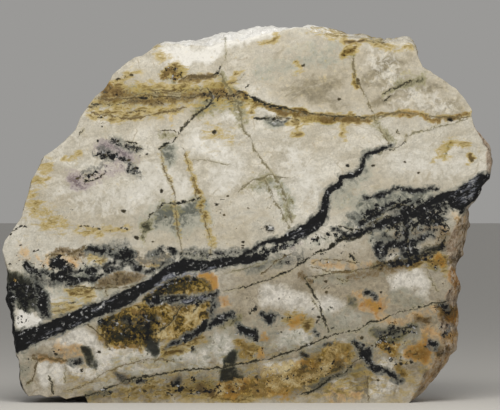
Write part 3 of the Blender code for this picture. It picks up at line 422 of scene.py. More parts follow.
# Ochre: limonite, along the seams and under the vein.
STAINS["ochre"] = (
    (.4, 8, 30, 196, 5, 40, 214, 8, 56, 222, 6), (.3, 6, 46, 165, 4, 38, 182, 4),
    (.6, 1, 184, 152, .8, 189, 170, 1, 196, 196, .6, 203, 216, 1, 209, 238, .6),
    (.45, 1, 160, 152, .6, 168, 176, .6, 175, 205, .5, 179, 236, .5),
    (.5, 6, 437, 158, 2, 441, 154, 3.4, 446, 148, 3, 450, 143, 2), (.33, 3, 66, 158, 3, 75, 159, 4),
    (.12, 20, 90, 385, 20, 200, 385, 20, 300, 380, 25, 400, 370, 25),
    (.35, 8, 95, 104, 6, 120, 100, 10, 150, 98, 12, 185, 96, 12, 215, 96, 9, 238, 98, 6),
    (.55, 3, 102, 97, 3, 108, 91, 5, 115, 86, 5, 120, 93, 5, 112, 97, 4),
    (.45, 3, 92, 112, 3, 110, 114, 4, 130, 115, 4, 150, 113, 3, 180, 108, 3),
    (.45, 4, 126, 76, 4, 134, 73, 3), (.35, 4, 150, 90, 3, 180, 90, 4, 210, 92, 4, 230, 95, 4),
    (.7, 3, 165, 73, 3, 172, 70, 5, 180, 72, 4, 176, 66, 3),
    (.6, 2.4, 184, 79, 2, 193, 78, 2.4, 204, 78, 2.2, 215, 78, 2),
    (.35, 5, 148, 48, 4, 158, 50, 4, 164, 56, 4), (.5, 3, 240, 74, 2, 237, 82, 4, 232, 88, 3),
    (.9, 2, 242, 93, 1.6, 255, 100, 2, 268, 105, 2.4, 280, 109, 3.6, 292, 113, 4.4, 306, 115, 4.2, 320, 118,
     4.5, 334, 119, 4.4, 348, 118, 3.6, 362, 118, 2.4, 376, 118, 2, 388, 116, 1.8, 398, 113, 1.8, 410, 114,
     2, 425, 116, 1.8, 440, 117, 1.4, 460, 118, 1.2, 472, 116, 1.2),
    (.5, 3, 343, 124, 2.4, 345, 132, 2.4, 348, 138, 2), (.5, 3, 292, 134, 2, 301, 133, 2),
    (.5, 2.5, 284, 122, 2, 296, 124, 3, 310, 122, 2.4), (.5, 3, 252, 106, 2, 247, 117, 2),
    (.45, 3, 260, 40, 2, 272, 39, 2.4), (.4, 4, 316, 33, 3, 340, 35, 3),
    (.5, 3, 342, 40, 2, 362, 41, 2, 384, 44, 2, 400, 46, 1.6, 412, 48, 1.6),
    (.65, 2.5, 341, 52, 2, 347, 49, 3.4, 354, 49, 3, 360, 47, 2), (.45, 3, 293, 62, 2, 296, 70, 2),
    (.8, 1.8, 354, 73, 1.6, 357, 80, 2.4, 360, 87, 2), (.5, 5, 461, 144, 1.6, 465, 147, 2.6, 469, 151, 1.6),
    (.9, 2, 470, 159, 2.6, 473, 161, 2.6), (.18, 8, 212, 132, 10, 226, 134, 8),
    (.42, 2.5, 192, 182, 2, 197, 200, 2.4, 201, 214, 4, 206, 226, 2.6, 211, 245, 2.2),
    (.35, 4, 76, 228, 3, 100, 230, 4, 124, 230, 3), (.5, 3, 90, 257, 3, 100, 258, 3.6, 106, 261, 3),
    (.4, 4, 146, 262, 4, 164, 263, 4), (.65, 2.5, 66, 290, 2.4, 78, 292, 3, 92, 292, 2.4),
    (.4, 3, 72, 291, 1.6, 86, 292, 1.6), (.4, 5, 50, 309, 4, 66, 306, 6, 86, 298, 5),
    (.5, 2.5, 52, 318, 2, 66, 313, 2.4, 88, 303, 2.4),
    (.6, 3, 166, 352, 4, 178, 348, 5, 190, 342, 5, 200, 338, 4),
    (.7, 3, 238, 342, 3, 246, 350, 5, 250, 356, 3),
    (.3, 5, 120, 392, 5, 150, 390, 7, 190, 388, 7, 210, 392, 6),
    (.8, 5, 214, 394, 5, 228, 394, 7, 244, 392, 8), (.6, 5, 290, 318, 4, 300, 318, 7, 308, 324, 5),
    (.7, 3, 250, 344, 3, 256, 350, 4),
    (.65, 5, 256, 390, 8, 280, 386, 9, 306, 374, 8, 330, 360, 9, 346, 352, 5),
    (.35, 5, 336, 388, 5, 350, 384, 5), (.6, 3, 398, 368, 3, 400, 374, 2.4),
    (.75, 4, 430, 264, 4, 440, 260, 5, 446, 268, 4), (.6, 3, 410, 266, 3, 420, 264, 3),
    (.9, 4, 166, 316, 7, 184, 312, 10, 202, 310, 7, 192, 326, 9, 172, 338, 6),
)

# Amber: strong rust stains.
STAINS["amber"] = (
    (.9, 3, 444, 306, 3, 448, 316, 5, 456, 318, 4), (.5, 4, 446, 336, 3, 456, 344, 3),
    (.35, 5, 104, 88, 4, 112, 92, 4), (.4, 2, 392, 113, 1.2, 412, 114, 1.4, 436, 117, 1.2, 468, 117, 1),
    (.55, 2.4, 206, 277, 2.4, 212, 281, 3), (.8, 5, 222, 386, 3, 232, 390, 7, 244, 388, 6),
    (.5, 2.4, 366, 305, 2, 374, 303, 2, 378, 309, 2), (.5, 4, 292, 326, 3, 300, 316, 3),
    (.55, 2.5, 264, 332, 2, 268, 336, 3, 263, 338, 2), (.4, 3, 263, 360, 3, 262, 354, 3),
    (.6, 3, 296, 366, 3, 302, 362, 3, 316, 362, 4), (.5, 3, 338, 362, 3, 346, 354, 3),
    (.6, 4, 272, 392, 5, 284, 396, 4), (.6, 3, 384, 346, 3, 390, 350, 4, 394, 344, 2),
    (.8, 3, 410, 352, 5, 420, 352, 6, 428, 350, 4, 424, 358, 4), (.5, 3, 422, 320, 3),
    (.5, 3, 424, 340, 3, 430, 346, 3), (.6, 3, 444, 312, 4, 450, 320, 4, 456, 314, 3),
    (.8, 2.5, 440, 258, 2.4, 443, 266, 2.4),
)

# Brown: rust in cracks, in the lens left of the vein and at the right edge.
STAINS["brown"] = (
    (.6, 3, 441, 306, 2.4, 446, 312, 3), (.4, 3, 120, 378, 3, 126, 380, 3),
    (.4, 3, 172, 380, 3, 178, 381, 3), (.5, 1.4, 430, 116, .8, 452, 118, .9, 470, 116, .8),
    (.35, 4, 436, 226, 4, 446, 240, 3), (.35, 4, 104, 281, 3, 122, 278, 4, 138, 274, 3),
    (.7, 4, 384, 264, 3, 404, 261, 4, 424, 256, 4, 440, 247, 3),
    (.6, 2, 184, 78, 2, 200, 78, 2, 214, 77, 1.6), (.27, 4, 100, 94, 2.4, 108, 89, 4, 118, 93, 4),
    (.4, 2.4, 126, 102, 1.6, 150, 99, 2.4, 190, 99, 2, 215, 98, 2),
    (.35, 3, 258, 103, 1.6, 276, 109, 2.4, 294, 114, 3, 312, 118, 2.6, 334, 120, 2.6, 358, 119, 1.8, 400,
     114, 1.2, 440, 118, 1.2, 470, 117, 1),
    (.44, 3, 98, 97, 3, 110, 90, 4, 140, 98, 3, 176, 97, 3, 205, 95, 3, 240, 96, 3),
    (.4, 3, 166, 74, 2.5, 174, 70, 3), (.7, 1.6, 344, 39, 1.2, 352, 39, 1, 366, 41, 1),
    (.6, 2.5, 50, 252, 1.6, 60, 254, 2.4, 72, 253, 3, 82, 249, 3),
    (.45, 4, 138, 258, 3, 150, 262, 4, 164, 262, 5, 170, 266, 3),
    (.42, 3, 94, 282, 3, 110, 279, 5, 128, 277, 5, 142, 277, 4),
    (.8, 2.4, 13, 281, 3, 19, 284, 3.4, 24, 280, 2), (.6, 1.6, 34, 358, 1.4, 46, 359, 1, 64, 363, 1.2),
    (.42, 3, 118, 374, 3, 126, 379, 3.4), (.36, 3, 178, 380, 3.6), (.75, 3, 202, 388, 4, 209, 390, 4),
    (.55, 2.5, 300, 274, 2.6, 307, 279, 2.6), (.4, 4, 350, 274, 3, 380, 270, 4, 400, 265, 4, 415, 259, 4),
    (.7, 3, 418, 321, 3, 426, 322, 3), (.7, 3, 440, 304, 3, 446, 308, 4, 441, 318, 2),
    (.6, 3, 440, 350, 4, 442, 356, 3), (.45, 3, 460, 222, 2, 464, 238, 2, 457, 250, 2.4, 456, 266, 2.4),
    (.6, 3, 160, 292, 4, 178, 284, 4, 200, 282, 4, 206, 288, 3),
)

# Pine: dark green blebs of chlorite, and the dark parts of the golden block.
STAINS["pine"] = (
    (1, 2, 232, 352, 1.4, 229, 362, 5, 228, 370, 7, 229, 375, 7),
    (.95, 2, 222, 376, 2.4, 232, 376, 3.6, 242, 378, 2), (.6, 2, 299, 352, 2, 306, 356, 2.4),
    (1, 1.5, 231, 354, 2, 230, 362, 4.5, 230, 371, 7, 233, 377, 7),
    (.9, 2, 14, 284, 5, 22, 292, 8, 32, 300, 7, 38, 306, 4),
    (.95, 3, 12, 280, 5, 24, 286, 8, 34, 294, 8, 38, 302, 5), (.85, 3, 12, 296, 7, 24, 302, 6, 30, 307, 4),
    (1, 1.8, 84, 349, 1.6, 88, 354, 4, 92, 358, 4, 96, 360, 1.6, 100, 364, .6),
    (1, 3, 150, 342, 3.6, 154, 348, 4.6, 159, 353, 2.6),
    (.5, 3, 300, 366, 2, 318, 374, 3, 332, 368, 3, 344, 358, 3),
    (.75, 4, 106, 324, 5, 124, 324, 8, 146, 324, 9, 156, 336, 7, 128, 338, 7, 110, 340, 4),
    (.75, 3, 146, 300, 3, 160, 294, 4, 176, 284, 5, 196, 279, 4, 208, 284, 3),
)

# Cream: pale parts of the golden ground.
STAINS["cream"] = (
    (.5, 4, 266, 372, 4, 290, 366, 5), (.5, 4, 334, 352, 4, 344, 357, 3), (.45, 4, 272, 386, 4, 302, 382, 4),
    (.45, 4, 216, 390, 3, 238, 386, 4), (.6, 1.5, 162, 88, .6, 168, 100, .8, 173, 115, .8, 175, 129, .6),
    (.6, 2.4, 328, 360, 3, 322, 372, 3, 308, 376, 2.4), (.5, 3, 284, 378, 3, 296, 388, 3),
    (.75, 2.5, 186, 320, 4, 194, 318, 5, 198, 322, 4), (.5, 3, 160, 336, 4, 172, 338, 4),
    (.4, 3, 180, 308, 4, 200, 308, 4),
)

# Smoke: fine ore clouding the quartz.
STAINS["smoke"] = (
    (.4, 3, 102, 146, 2, 108, 154, 3, 112, 162, 2), (.35, 3, 122, 146, 2, 136, 148, 2),
    (.35, 3, 126, 160, 2, 134, 168, 3), (.35, 3, 88, 174, 2, 100, 168, 3),
    (.35, 5, 250, 266, 4, 275, 262, 5, 300, 256, 4),
    (.7, 3, 302, 390, 2, 318, 386, 3, 332, 377, 3, 346, 371, 2),
    (.5, 3, 380, 332, 3, 400, 328, 3, 414, 331, 3),
    (.5, 5, 352, 222, 5, 376, 214, 6, 400, 208, 5, 424, 206, 4),
    (.5, 5, 384, 238, 4, 402, 234, 5, 424, 232, 4, 440, 226, 3),
    (.45, 4, 113, 140, 2.6, 124, 143, 3.6, 134, 146, 3, 140, 148, 1.6),
    (.4, 4, 98, 153, 2.6, 106, 156, 4, 115, 155, 2.4), (.35, 4, 124, 160, 2.4, 132, 166, 3.6, 140, 172, 2),
    (.8, 1.6, 262, 119, 1, 273, 120, 1.6, 285, 119, .8),
    (.65, 4, 88, 248, 3, 100, 250, 4, 116, 254, 3.4, 130, 256, 5), (.45, 4, 110, 247, 3, 126, 247, 3),
    (.75, 2.5, 148, 252, 3, 156, 253, 3.4, 162, 251, 2), (.55, 4, 176, 256, 4, 210, 256, 4, 250, 252, 5),
    (.5, 3, 30, 270, 3, 42, 273, 3.4), (.75, 4, 55, 277, 3, 68, 277, 4, 76, 281, 3),
    (.5, 3, 56, 262, 3, 64, 267, 4), (.35, 4, 144, 258, 3, 168, 260, 4),
    (.75, 3, 38, 286, 4, 43, 298, 5, 44, 310, 3.4, 48, 318, 2.4),
    (.6, 3, 30, 278, 3, 48, 282, 4, 58, 285, 3), (.95, 1.6, 238, 327, 2, 245, 330, 3, 252, 331, 2.4),
    (.7, 2.4, 119, 376, 2, 124, 379, 3), (.75, 2.4, 137, 380, 2, 143, 381, 2.4), (.75, 2.4, 178, 380, 3),
    (.4, 3, 92, 394, 3, 104, 394, 3), (.45, 3, 262, 252, 3, 280, 247, 3, 292, 243, 3),
    (.9, 3, 392, 263, 2.4, 402, 260, 3, 414, 257, 3.4, 424, 253, 3, 440, 248, 2.4),
    (.6, 1.6, 366, 294, 2, 374, 297, 2.6), (.55, 2.4, 350, 302, 2.4, 348, 307, 2),
    (.95, 1.4, 263, 315, 1.6, 268, 320, 3.4, 272, 322, 2), (.9, 1.6, 252, 330, 3, 256, 335, 3),
    (.7, 1.8, 300, 353, 1.4, 306, 356, 2.4), (.8, 2, 326, 345, 2, 334, 347, 3),
    (.5, 2.5, 384, 334, 3, 394, 331, 3), (.5, 2, 444, 334, 2, 452, 330, 2),
    (.45, 4, 372, 212, 4, 390, 206, 6, 412, 204, 6),
    (.5, 4, 392, 222, 5, 412, 222, 6, 432, 214, 6, 448, 212, 4),
    (.45, 4, 384, 246, 5, 400, 244, 5, 412, 250, 4),
    (.7, 2.5, 112, 325, 3, 124, 322, 2.4, 136, 323, 3.4, 142, 326, 3),
    (.6, 3, 228, 317, 3, 212, 323, 4, 198, 330, 3.4, 184, 337, 3, 170, 345, 2),
    (.5, 3, 150, 304, 3, 168, 303, 3, 196, 301, 3, 214, 300, 3, 213, 312, 2),
)

# Ground where fine grains crowd together, by kind, as share of grains, softness and points.
GRAINS = {}

# Dusk: the rock under the main vein lets less light through than the quartz above it.
GRAINS["dusk"] = (
    (.5, 20, 20, 400, 60, 100, 370, 52, 200, 330, 52, 300, 320, 62, 400, 310, 70, 440, 290, 60),
    (.35, 20, 120, 400, 24, 240, 400, 28, 350, 400, 30, 430, 390, 26),
)

# Gilt: ground altered to crystals coated with limonite.
GRAINS["gilt"] = (
    (.9, 3, 148, 298, 3, 158, 292, 6, 172, 287, 8, 188, 284, 8, 200, 284, 6, 208, 289, 4, 212, 292, 2),
    (.9, 3, 166, 318, 6, 176, 326, 7, 184, 316, 10, 198, 312, 10, 208, 306, 5, 192, 326, 8, 172, 338, 4),
    (.85, 4, 112, 322, 6, 128, 315, 8, 146, 310, 8, 158, 310, 6),
    (.85, 3, 104, 331, 6, 114, 337, 9, 130, 336, 9, 146, 328, 9, 160, 334, 6),
    (.7, 4, 112, 342, 4, 128, 345, 4, 142, 346, 3), (.6, 4, 224, 390, 4, 236, 388, 6, 246, 392, 6),
    (.55, 4, 240, 344, 4, 246, 352, 5), (.52, 4, 306, 360, 3, 318, 356, 5, 334, 352, 6, 348, 350, 4),
    (.48, 4, 300, 372, 5, 316, 368, 7, 334, 364, 6), (.48, 5, 258, 386, 6, 276, 384, 8, 294, 382, 7),
    (.36, 4, 262, 396, 4, 290, 396, 5, 306, 390, 4), (.8, 3, 384, 346, 3, 390, 350, 4, 394, 344, 2),
    (.55, 3, 398, 368, 3, 400, 374, 2.4), (.6, 3, 414, 352, 4, 424, 352, 4),
    (.55, 3, 432, 264, 3, 442, 262, 4),
)

# Gold: more such crystals strewn over it.
GRAINS["gold"] = (
    (.7, 2.5, 134, 314, 3, 141, 317, 3), (.7, 2.5, 120, 348, 2, 138, 348, 2),
    (.4, 3, 14, 282, 4, 20, 288, 4), (.5, 4, 228, 390, 6, 242, 390, 6), (.3, 5, 190, 380, 5, 160, 392, 4),
    (.5, 3, 430, 264, 4, 444, 262, 4), (.6, 4, 444, 308, 5, 454, 316, 5),
    (.5, 5, 262, 390, 8, 286, 386, 8, 310, 374, 8, 334, 358, 8), (.5, 4, 410, 352, 5, 426, 352, 5),
    (.45, 5, 168, 74, 6, 180, 76, 5),
)

# Black: grains of the sulphides.
GRAINS["black"] = (
    (.16, 4, 104, 146, 3, 112, 156, 4), (.16, 4, 124, 158, 3, 134, 168, 3),
    (.36, 5, 432, 220, 5, 444, 230, 5, 440, 242, 4), (.32, 4, 20, 322, 5, 34, 318, 5, 26, 312, 4),
    (.2, 6, 40, 384, 8, 24, 372, 6, 60, 350, 6), (.4, 4, 166, 72, 5, 177, 72, 5),
    (.22, 10, 290, 256, 10, 340, 246, 12, 380, 232, 14, 430, 222, 12),
    (.35, 4, 384, 264, 4, 404, 260, 5, 424, 256, 5, 440, 248, 4),
    (.3, 8, 20, 262, 8, 50, 266, 10, 90, 268, 10), (.22, 6, 100, 393, 6, 180, 388, 8, 240, 386, 8),
    (.6, 4, 112, 140, 3, 122, 143, 3, 132, 145, 3, 140, 148, 2.4),
    (.58, 4, 99, 153, 3, 107, 156, 4, 115, 158, 2.4), (.42, 4, 124, 160, 3, 132, 166, 4, 140, 172, 2.4),
    (.42, 4, 84, 179, 3, 96, 176, 3, 108, 170, 3), (.3, 6, 206, 98, 6, 226, 96, 7, 240, 98, 5),
    (.15, 20, 180, 350, 50, 300, 330, 60, 400, 320, 60), (.12, 20, 60, 215, 20, 200, 225, 20, 280, 215, 20),
    (.45, 4, 104, 322, 4, 122, 323, 4, 144, 323, 6, 152, 330, 4),
    (.4, 4, 112, 332, 5, 130, 336, 6, 146, 336, 5),
    (.55, 3, 150, 302, 4, 158, 293, 3, 176, 281, 3, 196, 277, 3),
    (.4, 3, 166, 304, 3, 186, 304, 3, 210, 299, 3), (.6, 3, 8, 284, 4, 20, 290, 7, 32, 297, 7, 38, 304, 4),
    (.5, 3, 10, 300, 4, 24, 304, 4), (.5, 3, 88, 247, 2.4, 100, 250, 3.6, 112, 253, 3),
    (.6, 3, 126, 252, 4, 132, 258, 4.4), (.45, 3, 140, 266, 4), (.55, 3, 30, 268, 4, 40, 273, 4),
    (.6, 3, 56, 262, 3, 66, 267, 4), (.55, 3, 56, 277, 4, 70, 276, 4, 84, 280, 3),
    (.3, 3, 84, 267, 3, 96, 273, 4), (.5, 3, 154, 253, 3, 172, 253, 3),
    (.45, 4, 176, 258, 3, 196, 259, 3, 216, 257, 3, 236, 254, 3, 256, 254, 3),
    (.35, 3, 146, 270, 3, 160, 266, 3, 170, 262, 3),
    (.45, 3, 229, 316, 3, 214, 322, 4, 200, 329, 4, 186, 336, 3.4, 174, 343, 2.4),
    (.4, 3, 238, 328, 3, 248, 331, 3), (.35, 4, 120, 378, 3, 142, 381, 3), (.3, 4, 96, 395, 4, 108, 394, 3),
    (.12, 5, 204, 388, 5, 180, 382, 4), (.5, 3, 250, 257, 3, 264, 254, 3, 282, 248, 3),
    (.35, 3, 264, 250, 4, 282, 244, 3, 296, 244, 3), (.4, 4, 312, 238, 3, 330, 232, 3, 345, 232, 3),
    (.45, 5, 366, 216, 4, 386, 206, 4, 402, 202, 3),
    (.5, 5, 384, 224, 4, 404, 218, 6, 430, 212, 5, 450, 210, 4),
    (.35, 4, 400, 232, 5, 424, 226, 4, 442, 220, 4), (.5, 4, 380, 250, 5, 398, 246, 4, 412, 250, 4),
    (.45, 3, 398, 264, 3, 412, 261, 3, 426, 256, 3), (.35, 3, 430, 264, 4, 436, 268, 3),
    (.55, 2.4, 264, 317, 3, 271, 321, 3), (.5, 2.4, 252, 330, 3, 255, 335, 3),
    (.35, 4, 384, 334, 4, 396, 332, 4, 410, 331, 4), (.4, 3, 362, 352, 4, 368, 364, 3),
    (.2, 7, 270, 378, 6, 300, 378, 8, 330, 364, 8, 350, 352, 5), (.25, 6, 385, 345, 6, 396, 366, 6),
    (.4, 3, 440, 304, 4, 446, 310, 4), (.35, 3, 442, 328, 4, 450, 336, 4),
    (.35, 5, 366, 212, 4, 384, 206, 4, 402, 202, 4, 420, 200, 4),
    (.18, 5, 95, 98, 5, 118, 94, 6, 140, 92, 5, 170, 86, 5, 200, 86, 5), (.25, 4, 340, 50, 4, 350, 48, 4),
)

# Steel: polished steel-grey streaks inside the ore, partly the ore's own grey and partly painted sheen.
GRAINS["steel_and_sheen"] = (
    (.5, 3, 456, 199, 4, 466, 192, 6, 478, 182, 5),
    (.9, 2, 150, 292, 1.6, 166, 281, 2, 180, 275, 2, 200, 272, 1.6, 220, 268, 1),
    (.7, 2, 92, 308, 1.6, 104, 302, 2, 114, 300, 1.2), (.4, 3, 30, 342, 2, 60, 330, 3, 90, 316, 2),
    (.8, 2, 180, 298, 1.2, 196, 298, 1.6, 206, 296, 1), (.6, 2.4, 292, 234, 1.6, 298, 232, 2, 304, 230, 1),
    (.4, 3, 464, 190, 2, 476, 184, 2),
)

# Thread: bright grains and threads in the ore, partly the ore's own and partly painted glints on shiny
# crystal faces.
GRAINS["threads_and_glints"] = (
    (.4, 3, 462, 192, 4, 474, 184, 4), (.5, 1.6, 267, 124, 1.6, 274, 124, 3, 282, 121, 1.6),
    (.55, 2.5, 30, 270, 2, 42, 273, 2.4), (.5, 2, 84, 273, 2, 96, 270, 1.6), (.8, 1, 80, 260, .8),
    (.9, 1, 176, 262, .9), (.6, 1.6, 188, 264, .8, 202, 262, .8), (.75, 1.6, 92, 308, 1, 102, 303, 1.4),
    (.5, 1.6, 104, 301, 1, 130, 291, 1, 146, 284, 1), (.95, 1, 267, 229, 1.6, 271, 229, 1.6),
    (.6, 1.2, 270, 319, .8, 274, 318, .6), (.6, 1.6, 411, 331, 1.6, 414, 334, 1.6),
    (.5, 2, 446, 328, 2, 450, 334, 2), (.4, 2, 270, 252, 2, 290, 246, 2), (.4, 2, 404, 224, 2, 412, 250, 2),
    (.45, 1.6, 448, 214, 1.6, 452, 220, 1.6),
)


# The outline in four runs, clockwise as seen on the sawn face, in millimetres. Each point gives x,
# z, how far the sawn face's own edge lies inside the outline, and how deep the stone is widest.
LEFT_RUN = (
    (-55.1, 1.6, 0, 1), (-56.5, 3.4, .3, 2), (-57.5, 5.9, .3, 2), (-57.6, 8.1, .4, 2), (-58, 10.8, .5, 3),
    (-58.8, 11.8, .8, 3), (-59.4, 17.5, 1.2, 3), (-60.1, 22.8, 1.2, 3), (-61.1, 25.8, 1.5, 3),
    (-60.9, 28, 1.2, 3), (-60.4, 32.5, .5, 2), (-61, 35.3, .2, 1), (-61.7, 38.3, 0, 1), (-61.1, 40.6, 0, 1),
    (-59.6, 42.5, 0, 1), (-57, 46.3, 0, 1), (-55.9, 50.3, 0, 1), (-54.7, 53.8, 0, 1), (-54.3, 55.9, 0, 1),
    (-52.3, 59.4, 0, 1), (-51.2, 61.8, 0, 1), (-49.3, 63.1, 0, 1), (-46.2, 65.4, 0, 1), (-43.3, 68.5, 0, 1),
    (-42.2, 71.4, 0, 1), (-40.8, 73.5, 0, 1), (-38.3, 76.9, 0, 1), (-36.4, 78.4, 0, 1), (-34.6, 81.1, 0, 1),
    (-34.2, 82.1, 0, 1), (-31.5, 84.4, 0, 1), (-28.4, 86.6, 0, 1), (-26.7, 86.9, 0, 1), (-24, 88.9, .2, 2),
    (-20.9, 90.5, .6, 3),
)
TOP_RUN = (
    (-20.9, 90.5, .6, 3), (-17.6, 90.8, 1.2, 4), (-14.3, 90.9, 1.8, 4), (-10.1, 91.8, 3.2, 6),
    (-6.4, 93.3, 3.6, 6), (-1.9, 93.5, 3, 5), (1.2, 94.1, 2.9, 5), (4.1, 94.8, 2.9, 5), (7.8, 94.3, 1.4, 4),
    (12, 94.3, .4, 2), (14.7, 94.9, 1.2, 3), (19.5, 94.3, 3.2, 5), (23, 93.3, 2.5, 5), (26.1, 92.7, 1.7, 4),
    (30.2, 92.2, 1.6, 4), (34.3, 91.1, 1.5, 4), (34.7, 91.6, 1.9, 4), (36.2, 91.8, 2.2, 4),
    (39.7, 91.9, 2.6, 4), (40.5, 91.6, 2.4, 4),
)
RIGHT_RUN = (
    (40.5, 91.6, 2.4, 4), (41.6, 90.6, 1.6, 4), (42.6, 88.3, .6, 3), (42.7, 86.7, .3, 2),
    (43.7, 84.2, .2, 1), (45.7, 83.1, .2, 1), (47, 82.2, 0, 1), (50.9, 79.3, 0, 1), (51.9, 78.8, 0, 1),
    (54.4, 75.9, 0, 1), (56, 73.3, 0, 1), (55.9, 71.8, 0, 1), (56.9, 68.8, .2, 2), (58.1, 67.5, .6, 3),
    (60.9, 64, 1.4, 4), (61.7, 61.3, 2.2, 5), (61.7, 59.6, 2.3, 5), (60.4, 56, 1.2, 4), (59.4, 54.6, .8, 4),
    (57.1, 50.5, 1, 5), (55.6, 48.5, 1.6, 6), (55.8, 46.6, 2.9, 7), (56.1, 44.5, 4.2, 8),
    (55.3, 42, 4.9, 8), (54.2, 38.3, 5.4, 8), (54.3, 36.7, 5.8, 8), (52.8, 34.3, 3.6, 7),
    (52.4, 32.5, 2, 6), (53.6, 29, 3.3, 6), (53.4, 26.9, 4.3, 7), (52.9, 24.9, 4.6, 7),
    (53.4, 21.6, 6.3, 8), (52.9, 17.5, 5.5, 8), (52.4, 12.9, 4.6, 7), (50.3, 9.6, 4.2, 7),
    (47.4, 6, 3.6, 6), (45.7, 4.6, 3.3, 6), (44.5, 3.2, 2.6, 5), (42, .9, 1.4, 4), (40.1, 0, 0, 1),
)
BASE_RUN = (
    (40.1, 0, 0, 1), (-40.1, 0, 0, 1), (-40.6, 1.1, 0, 1), (-41, 1.7, 0, 1), (-43.5, 1.4, 0, 1),
    (-45.6, .9, 0, 1), (-47.6, 1.7, 0, 1), (-50.3, 1.3, 0, 1), (-52.2, 1.9, 0, 1), (-55.1, 1.6, 0, 1),
)

# The main vein's line across the sawn face, as x and z.
MAIN_VEIN = ((-61.0, 15.0), (-39.4, 22.8), (-22.6, 30.9), (-0.9, 35.5), (10.6, 43.0), (24.6, 56.8),
             (38.6, 47.5), (53.4, 53.3), (61.0, 57.5))

# Broken facets of the back: the way each faces, and its distance from the stone's middle.
MIDDLE = (0.0, 0.0, 45.0)
FACETS = (
    ((-0.55, 0.55, 0.62), 40.5), ((0.80, 0.60, 0.10), 50.5), ((0.50, 0.50, 0.70), 50.5),
    ((-0.75, 0.65, -0.15), 49.0), ((0.10, 0.93, -0.35), 26.0), ((0.05, 0.50, 0.86), 43.0),
    ((-0.20, 0.97, 0.15), 23.0), ((0.45, 0.86, -0.25), 33.0),
)

# The outline is smoothed, and the hold of the flat base fades out, over widths counted in 192nds of
# the way round.
OUTLINE_STEPS = 192.0
OUTLINE_SMOOTHED = 2.2
BASE_FADE = 1.2

# The form, in millimetres. The wall runs back from the sawn face, and its outline turns into the
# smoothed one over OUTLINE_BLEND. Points closer to the floor than ON_FLOOR lie on it.
FACE_Y = CAD_BOX[0][1] / MM
RIM_DEPTH = 31.0
OUTLINE_BLEND = 11.0
ON_FLOOR = 0.02

# Wear of the sawn edge, and how far the back rises behind its own rounded edge.
EDGE_WEAR = 0.2
CHIP_DEPTH = 0.35
NICK_DEPTH = 0.12
BACK_RISE = 3.45
BACK_EDGE_ROUND = 5.0

# Scars and lumps of the broken sides, which come in over SCARS_DEEPEN, and unevenness of a facet.
SCAR_SIZE = 17.0
SCAR_DEPTH = 3.4
SCARS_DEEPEN = 8.0
LUMP_SIZE = 7.5
LUMP_HEIGHT = 1.1
FACET_ROUGHNESS = 1.2

# The main vein dips as it runs back, lies in a groove of the wall and makes a ledge on the back.
VEIN_DIP = 0.25
VEIN_GROOVE = 1.0
VEIN_HALF_WIDTH = 2.2
LEDGE_HEIGHT = 2.4
LEDGE_RUN = 3.0

# The mesh: cells along the base and top, cells up the sides, and sections through the wall. The
# back's cells are twice as wide and twice as high.
CELLS_ACROSS = 230
CELLS_UP = 200
WALL_SECTIONS = 38


def ease(value, low, high):
    """Smooth step from 0 at low to 1 at high."""
    t = np.clip((value - low) / (high - low), 0.0, 1.0)
    return t * t * (3.0 - 2.0 * t)


def scattered(cells, salt):
    """A fixed number from 0 to 1 for every cell of a whole-number lattice, by mixing its bits."""
    n = cells[..., 0] * 73856093 ^ cells[..., 1] * 19349663 ^ cells[..., 2] * 83492791
    n = (n + salt * 97531) & 0xFFFFFFFF
    for shift, factor in ((16, 2246822519), (13, 3266489917)):
        n = ((n ^ (n >> shift)) * factor) & 0xFFFFFFFF
    return (n ^ (n >> 16)) / 0xFFFFFFFF


def lumps(points, size, salt):
    """Bumps of about one size that meet in creases, from about 0 to 1.

    Every lattice cell holds one paraboloid: a scattered height, plus its tilt along the way from
    its centre, less 0.9 times the distance squared. The highest of those near a point counts.
    """
    scaled = points / size
    home = np.floor(scaled).astype(np.int64)
    best = np.full(points.shape[:-1], -9.0)
    steps = np.array(np.meshgrid(*[(-1, 0, 1)] * 3)).reshape(3, -1).T
    for step in steps:
        cell = home + step
        centre = cell + np.stack([scattered(cell, salt + k) for k in range(3)], axis=-1)
        tilt = np.stack([scattered(cell, salt + 3 + k) - 0.5 for k in range(3)], axis=-1)
        away = scaled - centre
        height = 0.7 * scattered(cell, salt + 6) + (tilt * away).sum(-1) - 0.9 * (away ** 2).sum(-1)
        best = np.maximum(best, height)
    return np.clip(best + 0.1, 0.0, 1.0)


def clouds(points, size, salt):
    """Smooth noise from -1 to 1: the eight lattice values round a point, blended by smooth steps."""
    scaled = points / size
    home = np.floor(scaled).astype(np.int64)
    t = ease(scaled - home, 0.0, 1.0)
    total = 0.0
    for corner in np.array(np.meshgrid(*[(0, 1)] * 3)).reshape(3, -1).T:
        share = np.prod(np.where(corner == 1, t, 1.0 - t), axis=-1)
        total = total + share * scattered(home + corner, salt)
    return 2.0 * total - 1.0


def stations(run, steps):
    """Points at even steps along a run, moved to its own corners, without its last point."""
    run = np.array(run)
    lengths = np.hypot(*np.diff(run[:, :2], axis=0).T)
    reached = np.concatenate([[0.0], np.cumsum(lengths)])
    wanted = np.linspace(0.0, reached[-1], steps, endpoint=False)
    nearest = np.rint(reached[:-1] / reached[-1] * steps).astype(int)
    wanted[np.minimum(nearest, steps - 1)] = reached[:-1]
    return np.stack([np.interp(wanted, reached, run[:, k]) for k in range(run.shape[1])], axis=-1)


def blurred(ring, width):
    """The closed ring smoothed over a width given in its own steps.

    Each of its waves is multiplied by exp(-(width * frequency) ** 2 / 2), which is a Gaussian blur.
    """
    waves = np.fft.fftfreq(len(ring)) * 2.0 * np.pi
    fade = np.exp(-0.5 * (waves * width) ** 2)
    return np.fft.ifft(np.fft.fft(ring, axis=0) * fade[:, None], axis=0).real


